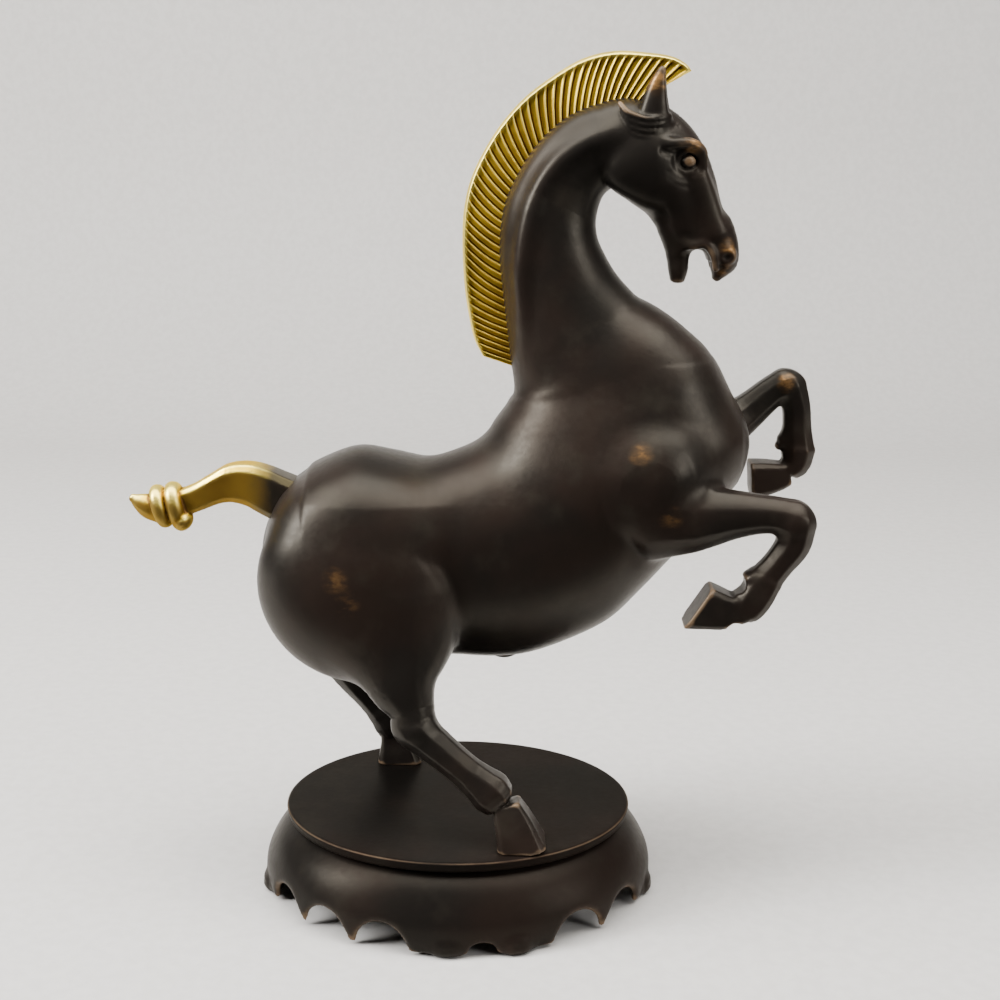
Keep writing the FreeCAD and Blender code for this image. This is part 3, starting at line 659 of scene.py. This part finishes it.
def knot_turn(x, top, bottom, thick):
    """One turn of cord round the tail."""
    middle, rise = (top + bottom) / 2, (top - bottom) / 2
    ring = []
    for turn in np.linspace(0, 2 * math.pi, 13):
        ring.append((x - 1.1 * math.cos(turn), 3.4 * math.sin(turn),
                     middle + rise * math.cos(turn), 0, thick, thick))
    return Sweep(ring, dense=3)


# Rope of hair from the croup, a leaf-shaped tip and the two turns of a knot.
TAIL = [
    (JOIN, Sweep([
        (-42, 0, 111, 118, 6.4, 5.8), (-49, 0, 114, 112, 6.5, 5.4), (-55.6, 0, 117, 98, 6.1, 4.6),
        (-61, 0, 117.5, 84, 5.5, 4.1), (-66, 0, 115.9, 76, 4.3, 3.5),
        (-71, 0, 113.5, 78, 3.8, 3.2), (-78, 0, 110.8, 82, 3.8, 3.2),
    ], facets=0.95, chamfer=0.84), 0),
    (JOIN, Sweep([
        (-81.6, 0, 110, 84, 4.2, 3.2), (-85, 0, 110.8, 80, 3.6, 2.7),
        (-87.6, 0, 112, 74, 2.3, 1.8), (-89.2, 0, 112.9, 70, 1.2, 1),
    ], facets=0.5), 0.6),
    (JOIN, Ball((-75.2, -1.5, 107.2), (2.6, 4, 3), lean=-30), 0.5),
    (JOIN, knot_turn(-81.4, 114.8, 106.6, 2), 0.25),
    (JOIN, knot_turn(-77, 115.4, 106, 2.3), 0.25),
]

# Round the stand from +X towards +Y, degrees: two scrolls to a foot, a notch between them,
# and arches from foot to foot.
SCROLLS = (11.3, 71.5, 91.5, 168.7, 191.3, 268.5, 288.5, 348.7)
NOTCHES = (0, 81.5, 180, 278.5)
ARCHES = (31.4, 51.4, 110.8, 130.1, 149.4, 210.6, 229.9, 249.2, 308.6, 328.6)


def on_oval(angle, reach):
    """Point of the oval round the stand, `reach` out from its centre along +X."""
    turn = math.radians(angle)
    return math.cos(turn) * reach, math.sin(turn) * (reach - OVAL)


def stand_shapes():
    """Domed oval skirt, hollow below, with scalloped edges and four feet of two small scrolls."""
    dome = [(z, half, half - OVAL) for z, half in (
        (1, 54.4), (5, 55.2), (9, 54.9), (13, 53.4), (16.6, 51.2), (19.4, 48.4), (21.4, 45.2),
    )]
    roof, wall = 2, 2.4
    inside = [(z - roof, long - wall, wide - wall) for z, long, wide in dome]
    inside[0] = (-3,) + inside[0][1:]
    made = [(JOIN, Dome(dome), 0), (CARVE, Dome(inside), 0.6)]
    for angles, size, height, soft in ((ARCHES, 6.9, 1.2, 2.4), (NOTCHES, 4.2, 0, 1.2)):
        for angle in angles:
            rows = [on_oval(angle, reach) + (height, 90, size, size) for reach in (36, 68)]
            made.append((CARVE, Sweep(rows), soft))
    for number, angle in enumerate(SCROLLS):
        size = 2.5 if number % 4 == 1 else 3.0
        rows = []
        for turn, thick in ((-4.6, 0.55), (-2.6, 0.95), (0, 1.05), (2.6, 0.95), (4.6, 0.55)):
            rows.append(on_oval(angle + turn, 53.4) + (2.7, 90, size * thick, size * thick))
        made.append((JOIN, Sweep(rows, cap=0.5), 1.4))
        groove = [on_oval(angle + turn, 56.6) + (3, 90, 0.45, 0.45) for turn in (-3.4, 0, 3.4)]
        made.append((CARVE, Sweep(groove), 0.5))
    return made


# Low rounded end of the plug on the belly.
NUB = [
    (JOIN, Sweep([(13, 0, 72.6, 0, 3.1, 3.1), (13, 0, 69.4, 0, 3.1, 3.1)], cap=0.5), 0),
    (JOIN, Ball((13, 0, 69.8), (4.6, 4.2, 1.7)), 1.2),
]


def carved_piece(name, lo, hi, step, shapes, sink=None, floor=None):
    """One piece from its own list of shapes; past the plane `sink` its skin sinks out of sight."""
    grid = Grid(lo, hi, step * (1.0))
    for kind, shape, soft in shapes:
        grid.apply(kind, shape, soft)
    if sink:
        grid.sink(*sink)
    if floor is not None:
        grid.cut((0, 0, -1), -floor)
    return sculpt(name, grid)


# -------- forms drawn directly

# Along the mane from the withers to the forelock: x and z on the neck, then x and z on the rim.
MANE = [
    (14, 150.6, 6.9, 152.9), (13.6, 154, 4.6, 157.6), (12.8, 158.5, 3.2, 163.6),
    (12, 164.5, 2.1, 171), (11.3, 171, 1.6, 178.5), (11.1, 178, 1.5, 185),
    (11.4, 184.5, 1.9, 191.5), (12.4, 191, 3.5, 198.8), (14.2, 197.8, 6.8, 206),
    (17.2, 203.6, 11.4, 213.2), (21.4, 208.4, 17.5, 220), (26.4, 212.7, 24.8, 225.5),
    (32.1, 216.3, 32.4, 229.8), (37.6, 218.4, 40.5, 231.7), (42.6, 219.8, 49.4, 231.3),
    (47.5, 221.2, 55.2, 230.4), (51.4, 222.6, 58.6, 228.7), (54.4, 223.6, 60.3, 226.9),
]
RIBS = 48
MANE_ROOT = 3.0    # depth of the comb in the neck, mm
RIB_HEIGHT = 0.95  # from groove to ridge, mm
RIM_START = 0.94   # where the ribs run out into the rim, as a share of the way out
# How the ribs swerve along the crest on their way out, at even steps from the withers to the
# forelock: the first number straight on from the neck, the second growing towards the rim.
RIB_SWERVE = [
    (-0.25, 0.12), (-0.4, 0.22), (-0.43, 0.38), (-0.34, 0.4), (-0.16, 0.22),
    (-0.1, 0.18), (0.04, 0.22), (-0.15, 0.18), (-0.3, 0.1),
]
# Height of the surface from one groove to the next, as shares of the rib: each rib climbs slowly
# to a sharp upper edge and drops from it into the next groove.
RIB_OUTLINE = [(0.0, 0.0), (0.08, 0.16), (0.2, 0.42), (0.6, 0.56), (0.74, 0.95), (0.83, 1.0),
               (0.91, 0.5), (1.0, 0.0)]


def mane():
    """Comb of curved ribs between a root in the neck and a thick rim, the same on both sides."""
    rows = spline(MANE, 30)
    away = rows[:, 2:] - rows[:, :2]
    width = np.linalg.norm(away, axis=1)
    rows[:, :2] -= away / width[:, None] * MANE_ROOT
    middle = (rows[:, :2] + rows[:, 2:]) / 2
    run = np.concatenate([[0], np.cumsum(np.linalg.norm(np.diff(middle, axis=0), axis=1))])
    share = run / run[-1]
    per_rib = 18
    base = np.linspace(0, 1, RIBS * per_rib + 1)
    rounding = 1 - 0.08 * (1 - np.linspace(0, 1, 11)[1:]) ** 2
    across = np.concatenate([np.linspace(0, 0.92, 24), rounding])
    s, t = np.meshgrid(base, across, indexing="ij")
    swerve = np.array(RIB_SWERVE)
    steps = np.linspace(0, 1, len(swerve))
    straight, growing = (np.interp(s, steps, swerve[:, k]) for k in (0, 1))
    calm = np.clip(s / 0.12, 0, 1) * np.clip((1 - s) / 0.12, 0, 1)
    place = s + (straight * t + growing * t**2) * np.interp(s, share, width) / run[-1] * calm
    phase = s * RIBS - np.floor(s * RIBS)
    outline = np.array(RIB_OUTLINE)
    rib = np.interp(phase, outline[:, 0], outline[:, 1])
    ends = np.minimum(s, 1 - s)
    fade = np.clip((RIM_START - t) / 0.08, 0, 1) * np.clip(ends / 0.008, 0, 1)
    bead = np.sqrt(np.clip(1 - (np.clip(t - 0.93, 0, 1) / 0.07) ** 2, 0, 1))
    root_half, taper = 2.35, 0.75  # half thickness at the root, and its loss by the rim
    half = (root_half - taper * t) * bead * (0.35 + 0.65 * np.sqrt(np.clip(ends / 0.006, 0, 1)))
    half += RIB_HEIGHT * (rib - 0.75) * fade
    half += 0.4 * np.exp(-((t - RIM_START) / 0.04) ** 2) * np.clip(ends / 0.01, 0, 1)
    inner_x, inner_z, outer_x, outer_z = (np.interp(place, share, column) for column in rows.T)
    x = inner_x * (1 - t) + outer_x * t
    z = inner_z * (1 - t) + outer_z * t
    near = np.stack([x, -half, z], axis=-1)
    far = np.stack([x, half, z], axis=-1)[:, ::-1]
    points = np.concatenate([near, far], axis=1)
    # painted light, noted as relief for the gilt: a painted highlight along the sharp upper edge
    # of each rib and a painted shadow in each groove
    edge = np.exp(-((phase - 0.8) / 0.09) ** 2)
    relief = 0.14 * edge - 0.16 * np.exp(-(np.minimum(phase, 1 - phase) / 0.1) ** 2)
    # darker towards the root, brighter along the rim
    relief -= 0.05 * np.clip((0.45 - t) / 0.45, 0, 1)
    relief = relief * fade + 0.13 * (1 - fade) * np.clip((t - 0.5) / 0.3, 0, 1)
    bend = np.concatenate([relief, relief[:, ::-1]], axis=1)
    count, around = points.shape[:2]
    return tube("ribbed_mane", points.reshape(-1, 3), count, around, bend.ravel())


def tube(name, points, count, around, bend):
    """Closed object through `count` rings of `around` points each, with their relief or the
    painted light and shade noted in its place.
    """
    rows = np.arange(count - 1)[:, None] * around
    columns = np.arange(around)[None, :]
    following = (columns + 1) % around
    quads = [rows + columns, rows + around + columns, rows + around + following, rows + following]
    faces = np.stack([corner.ravel() for corner in quads], axis=1)
    obj = new_object(name, points, faces)
    mesh = bmesh.new()
    mesh.from_mesh(obj.data)
    mesh.verts.ensure_lookup_table()
    last = (count - 1) * around
    mesh.faces.new([mesh.verts[k] for k in range(around)])
    mesh.faces.new([mesh.verts[last + k] for k in reversed(range(around))])
    bmesh.ops.recalc_face_normals(mesh, faces=mesh.faces)
    mesh.to_mesh(obj.data)
    mesh.free()
    obj.data.polygons.foreach_set("use_smooth", [True] * len(obj.data.polygons))
    note_bend(obj, bend)
    return obj


def plate():
    """Thin oval plate with a softened edge, worn along its upper rim, with painted shade along its
    lower edge and underside.
    """
    low, top = PLATE_TOP - 3.0, PLATE_TOP
    half_long = 49.0
    # reach along the plate, height and relief of each ring, from the middle of the top to below:
    # wear on the upper rim, painted shade on the lower edge and underside
    rings = [
        (0.02, top, 0), (14, top, 0), (28, top, 0), (40, top, 0), (46, top, 0), (47.8, top, 0),
        (48.3, top - 0.02, 0.04), (48.6, top - 0.12, 0.12), (48.85, top - 0.32, 0.14),
        (48.95, top - 0.6, 0.05), (48.9, top - 1.0, 0), (48.7, top - 1.5, 0),
        (48.6, low + 0.9, 0), (48.5, low + 0.5, -0.02), (48.2, low + 0.15, -0.06),
        (47.6, low, -0.1), (40, low, -0.1), (20, low, 0), (0.02, low, 0),
    ]
    around = 320
    turn = np.linspace(0, 2 * math.pi, around, endpoint=False)
    points, bend = [], []
    for reach, z, worn in rings:
        other = max(reach * (1 - OVAL / half_long), rings[0][0])
        ring = [reach * np.cos(turn), other * np.sin(turn), np.full(around, z)]
        points.append(np.stack(ring, axis=1))
        bend.append(np.full(around, worn))
    return tube("oval_plate", np.concatenate(points), len(rings), around, np.concatenate(bend))


# -------- materials


class Look:
    """A material built up from nodes, with short ways to add and join them."""

    def __init__(self, name):
        self.material = bpy.data.materials.new(name)
        self.material.use_nodes = True
        self.tree = self.material.node_tree
        self.shader = self.tree.nodes["Principled BSDF"]
        self.here = self.node("TexCoord").outputs["Object"]

    def feed(self, socket, value):
        """Links another node's output to a socket, or sets the socket to a constant."""
        if isinstance(value, bpy.types.NodeSocket):
            self.tree.links.new(value, socket)
        else:
            socket.default_value = value

    def node(self, kind, values=(), **settings):
        """New shader node with its settings and socket values."""
        made = self.tree.nodes.new("ShaderNode" + kind)
        for name, value in settings.items():
            setattr(made, name, value)
        for socket, value in dict(values).items():
            self.feed(made.inputs[socket], value)
        return made

    def math(self, operation, first, second):
        return self.node("Math", {0: first, 1: second}, operation=operation).outputs[0]

    def plus(self, first, second):
        return self.math("ADD", first, second)

    def times(self, first, second):
        return self.math("MULTIPLY", first, second)

    def ramp(self, value, low, high, start=0.0, end=1.0):
        """Smooth step of a value from low to high, given as start to end."""
        sockets = {"Value": value, "From Min": low, "From Max": high,
                   "To Min": start, "To Max": end}
        return self.node("MapRange", sockets, interpolation_type="SMOOTHSTEP").outputs[0]

    def mix(self, share, first, second):
        """Colour between two colours."""
        return self.node("Mix", {0: share, 6: first, 7: second}, data_type="RGBA").outputs[2]

    def noise(self, scale, detail, stretch=(1, 1, 1)):
        """Cloudy noise; the scale is in repeats per metre."""
        where = self.node("Mapping", {"Vector": self.here, "Scale": stretch}).outputs[0]
        sockets = {"Vector": where, "Scale": scale, "Detail": detail, "Roughness": 0.55}
        return self.node("TexNoise", sockets).outputs["Fac"]

    def bump(self, height, strength, distance):
        sockets = {"Height": height, "Strength": strength, "Distance": distance}
        self.feed(self.shader.inputs["Normal"], self.node("Bump", sockets).outputs[0])

    def set(self, **sockets):
        """Feeds the shader's sockets, named with _ for each space."""
        for name, value in sockets.items():
            self.feed(self.shader.inputs[name.replace("_", " ")], value)


def colour(red, green, blue):
    return (red, green, blue, 1.0)


def relief(look):
    """How far the surface stands out or sinks in, noted on each sculpted point; the mane notes
    painted highlight and shadow in its place, and the plate painted shade under its rim.
    """
    return look.node("Attribute", attribute_name="bend").outputs["Fac"]


# Where the patina is rubbed through to bright metal: centre, reach in mm and strength.
WORN_SPOTS = [
    ((47.8, -26.5, 132.4), 4.2, 0.45), ((55.8, -25.0, 115.4), 4.4, 0.36),
    ((-30.8, -27.0, 98.0), 4.6, 0.27), ((-28.0, -27.5, 92.0), 4.6, 0.2),
    ((91.4, 16.0, 143.2), 3.6, 0.8), ((51.0, -9.4, 224.6), 5.0, 0.9),
    ((60.6, -8.6, 209.0), 3.6, 0.7), ((71.0, -5.4, 182.6), 3.2, 0.75),
    ((70.4, -3.5, 176.4), 3.0, 0.7), ((59.3, -9.6, 204.5), 1.8, 0.25),
]


def bare_metal(look, cloud):
    """Share of bright metal showing in ragged patches at the worn spots."""
    glow = 0.0
    for centre, reach, strength in WORN_SPOTS:
        sockets = {0: look.here, 1: tuple(to_frame(centre))}
        apart = look.node("VectorMath", sockets, operation="DISTANCE").outputs["Value"]
        glow = look.math("MAXIMUM", look.ramp(apart, reach * MM, 0.0, 0.0, strength), glow)
    scratch = look.noise(260.0, 6.0, (0.8, 1.0, 1.6))
    ragged = look.times(glow, look.ramp(scratch, 0.42, 0.7))
    thin = look.times(glow, look.ramp(cloud, 0.4, 0.7, 0.0, 0.25))
    return look.plus(ragged, thin)


def patina(look, ridge, cloud, grain):
    """Dark brown patina: colour, roughness and share of bare metal."""
    broad = look.noise(21.0, 3.0)
    dark, reddish = colour(0.013, 0.011, 0.0095), colour(0.021, 0.0135, 0.0105)
    tone = look.mix(look.ramp(broad, 0.38, 0.62), dark, reddish)
    tone = look.mix(look.ramp(cloud, 0.5, 0.78, 0.0, 0.5), tone, colour(0.034, 0.029, 0.022))
    worn = look.plus(ridge, look.times(grain, 0.02))
    rubbed = look.ramp(worn, 0.1, 0.2, 0.0, 0.5)
    rubbed = look.times(rubbed, look.ramp(cloud, 0.3, 0.6, 0.2, 1.0))
    tone = look.mix(rubbed, tone, colour(0.3, 0.2, 0.12))
    # darker and rougher in the hollows
    hollow_dark = look.ramp(ridge, -0.015, -0.12, 0.0, 0.8)
    tone = look.mix(hollow_dark, tone, colour(0.008, 0.006, 0.005))
    bare = bare_metal(look, cloud)
    tone = look.mix(bare, tone, colour(0.5, 0.26, 0.09))
    rough = look.ramp(grain, 0.3, 0.7, 0.3, 0.36)
    rough = look.plus(rough, look.ramp(broad, 0.35, 0.65, 0.0, 0.06))
    rough = look.plus(rough, look.times(hollow_dark, 0.22))
    return tone, rough, bare


def bronze(name, gloss, shade):
    """Patinated bronze; less gloss for the duller castings, and more painted shade, over all but
    the ridges, as `shade` grows.
    """
    look = Look(name)
    ridge, cloud, grain = relief(look), look.noise(95.0, 4.0), look.noise(620.0, 4.0)
    tone, rough, bare = patina(look, ridge, cloud, grain)
    # painted shade: all but the ridges darkened towards near black by the share `shade`
    darker = look.times(look.ramp(ridge, 0.12, 0.04), shade)
    tone = look.mix(darker, tone, colour(0.004, 0.0036, 0.0032))
    metal = look.plus(look.times(bare, 0.85), 0.1)
    look.set(Base_Color=tone, Roughness=rough, Metallic=metal, IOR=1.55, Specular_IOR_Level=gloss,
             Specular_Tint=colour(1.0, 0.91, 0.74))
    look.bump(look.plus(look.times(grain, 0.35), cloud), 0.12, 0.5 * MM)
    return look.material


def gilt(name, fade=False):
    """Gilding with a painted highlight on ridges and brown in grooves, which on the mane is
    painted shadow; if faded, it is worn thin towards the croup and its sides and underside take
    painted shade.
    """
    look = Look(name)
    ridge, cloud, grain = relief(look), look.noise(95.0, 4.0), look.noise(620.0, 4.0)
    deep, light = colour(0.72, 0.46, 0.035), colour(0.9, 0.62, 0.05)
    gold = look.mix(look.ramp(cloud, 0.35, 0.65), deep, light)
    # painted highlight: brighter, yellower gold on the ridges
    gold = look.mix(look.ramp(ridge, 0.03, 0.1), gold, colour(1.0, 0.79, 0.17))
    # brown in the hollows; on the mane these are painted shadow lines in the grooves
    hollow = look.plus(ridge, look.times(grain, -0.05))
    brown_and_shade = look.ramp(hollow, 0.0, -0.12)
    shine = look.ramp(cloud, 0.3, 0.7, 0.3, 0.42)
    if fade:
        # painted shade: the sides and underside turn brown by which way they face
        normal = look.node("NewGeometry").outputs["Normal"]
        upward = look.node("SeparateXYZ", {0: normal}).outputs[2]
        upward = look.plus(upward, look.times(cloud, 0.3))
        brown_and_shade = look.math("MAXIMUM", brown_and_shade, look.ramp(upward, 0.66, 0.25, 0.0, 0.85))
    # brown over the gold: in the hollows, and as painted shade where faded
    gold = look.mix(brown_and_shade, gold, colour(0.15, 0.075, 0.02))
    pits = look.ramp(look.noise(900.0, 2.0), 0.7, 0.78, 0.0, 0.5)
    gold = look.mix(pits, gold, colour(0.16, 0.08, 0.03))
    shine = look.plus(shine, look.times(brown_and_shade, 0.2))
    metal = 0.82
    if fade:
        # the end by the croup is plain bronze
        tone, rough, _ = patina(look, ridge, cloud, grain)
        along = look.node("SeparateXYZ", {0: look.here}).outputs[0]
        along = look.plus(along, look.times(cloud, 8.0 * MM))
        gone = look.ramp(along, -59.0 * MM, -51.0 * MM)
        gold = look.mix(gone, gold, tone)
        sockets = {0: gone, 2: shine, 3: rough}
        shine = look.node("Mix", sockets, data_type="FLOAT").outputs[0]
        metal = look.math("SUBTRACT", 0.9, look.times(gone, 0.8))
    look.set(Base_Color=gold, Roughness=shine, Metallic=metal,
             Specular_Tint=colour(1.0, 0.84, 0.4))
    look.bump(cloud, 0.05, 0.3 * MM)
    return look.material


def steel(name):
    """Turned steel, brighter along the edges of the mesh."""
    look = Look(name)
    pointed = look.node("NewGeometry").outputs["Pointiness"]
    ridge = look.times(look.math("SUBTRACT", pointed, 0.5), 1.2)
    turned = look.noise(300.0, 3.0, (1, 1, 12))
    darker, clean = colour(0.36, 0.35, 0.34), colour(0.5, 0.49, 0.47)
    tone = look.mix(look.ramp(turned, 0.3, 0.7), darker, clean)
    tone = look.mix(look.ramp(ridge, 0.02, 0.2, 0.0, 0.6), tone, colour(0.72, 0.7, 0.68))
    look.set(Base_Color=tone, Roughness=look.ramp(turned, 0.3, 0.7, 0.28, 0.42), Metallic=1.0)
    look.bump(turned, 0.15, 0.3 * MM)
    return look.material


# The stand and plate take more painted shade than the horse.
BRONZE = bronze("cast_bronze", 0.2, 0.1)
STAND_BRONZE = bronze("stand_bronze", 0.07, 0.45)
PLATE_BRONZE = bronze("plate_bronze", 0.015, 0.6)
GILT = gilt("gilt_ribs")
FADED_GILT = gilt("gilt_tail", fade=True)
STEEL = steel("turned_steel")


def place(obj, node, slot, look):
    """Hangs a finished piece on the root body, hides its node's part and gives it its look."""
    obj.data.materials.clear()
    obj.data.materials.append(look)
    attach(obj, "root")
    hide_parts(node)
    print("%-20s %7d faces" % (obj.name, len(obj.data.polygons)))


def dress(node, look):
    """New look on a part that keeps its designed shape."""
    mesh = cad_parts[node].data
    mesh.materials.clear()
    mesh.materials.append(look)


# -------- build the pieces

UP_THE_NECK = (0.5, 0.0, 0.866)
DOWN_THE_NECK = tuple(-part for part in UP_THE_NECK)
NECK_SEAM = 176.0
head_and_neck = [(JOIN, NECK, 0), (JOIN, NECK_RIDGE, 4)] + HEAD
# Name, node, box of the grid, its step, shapes, and where the skin sinks into the neighbour's.
BRONZE_PIECES = [
    ("horse_body", "body_casting", (-60, -32, 56), (84, 32, 204), 0.62, BODY,
     (UP_THE_NECK, NECK_SEAM)),
    ("horse_head", "body_casting", (4, -16, 164), (80, 16, 232), 0.4, head_and_neck,
     (DOWN_THE_NECK, -NECK_SEAM)),
    ("raised_right_leg", "right_foreleg", (52, -32, 80), (98, -8, 126), 0.42,
     RIGHT_FORELEG, ((-1, 0, 0), -68.0, 0.04)),
    ("raised_left_leg", "left_foreleg", (60, 4, 105), (104, 30, 150), 0.42,
     LEFT_FORELEG, ((-1, 0, 0), -78.0, 0.04)),
    ("standing_right_leg", "right_hind_leg", (-30, -40, 24), (28, -8, 76), 0.45,
     RIGHT_HIND, ((0, 0, 1), 63.0, 0.04)),
    ("standing_left_leg", "left_hind_leg", (-48, 8, 24), (-8, 38, 76), 0.45,
     LEFT_HIND, ((0, 0, 1), 68.0, 0.04)),
]
for name, node, lo, hi, step, shapes, sink in BRONZE_PIECES:
    floor = PLATE_TOP if name.startswith("standing") else None
    piece = carved_piece(name, lo, hi, step, shapes, sink, floor)
    place(piece, node, "patinated_bronze", BRONZE)
place(carved_piece("scroll_stand", (-60, -52, -1), (60, 52, 24), 0.6, stand_shapes(), None, 0.0),
      "stand", "patinated_bronze", STAND_BRONZE)
place(plate(), "base_plate", "patinated_bronze", PLATE_BRONZE)
place(mane(), "mane_comb", "gilt_bronze", GILT)
place(carved_piece("knotted_tail", (-94, -9, 98), (-38, 9, 128), 0.36, TAIL),
      "tail", "gilt_bronze", FADED_GILT)
place(carved_piece("belly_nub", (7, -6, 66), (19, 6, 75), 0.3, NUB),
      "belly_plug", "patinated_bronze", BRONZE)
for fastener in ("hoof_screws", "hoof_washers", "plate_screws"):
    dress(fastener, STEEL)

# -------- backdrop, light and camera


def backdrop():
    """Pale paper sweep: flat under the statuette, curving up behind it."""
    front, back, bend, height, half_width, steps = -0.085, 0.56, 0.2, 1.3, 1.1, 12
    line = [(front, 0.0), (back, 0.0)]
    for step in range(1, steps + 1):
        turn = math.pi / 2 * step / steps
        line.append((back + bend * math.sin(turn), bend - bend * math.cos(turn)))
    line.append((back + bend, height))
    points = [(x, y, z) for y, z in line for x in (-half_width, half_width)]
    faces = [(2 * k, 2 * k + 1, 2 * k + 3, 2 * k + 2) for k in range(len(line) - 1)]
    obj = new_object("paper_sweep", np.array(points) / MM - [STAND_X, 0, 0], faces)
    look = Look("pale_paper")
    fibre = look.noise(240.0, 5.0)
    grey, white = colour(0.62, 0.6, 0.575), colour(0.66, 0.64, 0.615)
    tone = look.mix(look.ramp(fibre, 0.35, 0.65), grey, white)
    look.set(Base_Color=tone, Roughness=0.72)
    look.bump(fibre, 0.05, 0.4 * MM)
    obj.data.materials.append(look.material)


def lamp(name, spot, target, size, power, tint=(1, 1, 1)):
    """Soft rectangular lamp that looks at a target."""
    data = bpy.data.lights.new(name, "AREA")
    data.shape = "RECTANGLE"
    data.size, data.size_y = size
    data.energy = power
    data.color = tint
    obj = bpy.data.objects.new(name, data)
    obj.location = spot
    obj.rotation_mode = "QUATERNION"
    obj.rotation_quaternion = (Vector(target) - Vector(spot)).to_track_quat("-Z", "Y")
    bpy.context.scene.collection.objects.link(obj)


backdrop()
lamp("overhead", (0.0, -0.12, 0.8), (0, 0.0, 0.1), (1.5, 0.5), 21.0, (1.0, 0.985, 0.96))
lamp("left", (-0.9, -0.25, 0.62), (0, 0, 0.12), (0.3, 0.5), 18.0)
lamp("right", (0.85, -0.5, 0.4), (0, 0, 0.12), (0.35, 0.5), 4.5)


def surroundings():
    """World that gives a dim light, but looks pale where it is seen past the edge of the paper."""
    world = bpy.data.worlds.new("studio")
    bpy.context.scene.world = world
    world.use_nodes = True
    links, nodes = world.node_tree.links, world.node_tree.nodes
    lit = nodes["Background"]
    lit.inputs["Color"].default_value = colour(0.75, 0.75, 0.76)
    lit.inputs["Strength"].default_value = 0.03
    seen = nodes.new("ShaderNodeBackground")
    seen.inputs["Color"].default_value = colour(0.62, 0.61, 0.6)
    either = nodes.new("ShaderNodeMixShader")
    links.new(nodes.new("ShaderNodeLightPath").outputs["Is Camera Ray"], either.inputs[0])
    links.new(lit.outputs[0], either.inputs[1])
    links.new(seen.outputs[0], either.inputs[2])
    links.new(either.outputs[0], nodes["World Output"].inputs[0])


def photographer():
    """Camera in front of the right flank, looking slightly down."""
    data = bpy.data.cameras.new("camera")
    data.lens = 57.6
    data.sensor_width = 36.0
    data.clip_start = 0.05
    camera = bpy.data.objects.new("camera", data)
    camera.location = to_frame([14.8, -424.6, 223.5])
    down, left, roll = (math.radians(angle) for angle in (14.59, 0.42, 0.26))
    aim = Euler((math.pi / 2 - down, 0, left), "XYZ").to_matrix()
    camera.rotation_euler = (aim @ Matrix.Rotation(roll, 3, "Z")).to_euler()
    bpy.context.scene.collection.objects.link(camera)
    bpy.context.scene.camera = camera


surroundings()
photographer()

bpy.context.view_layer.update()
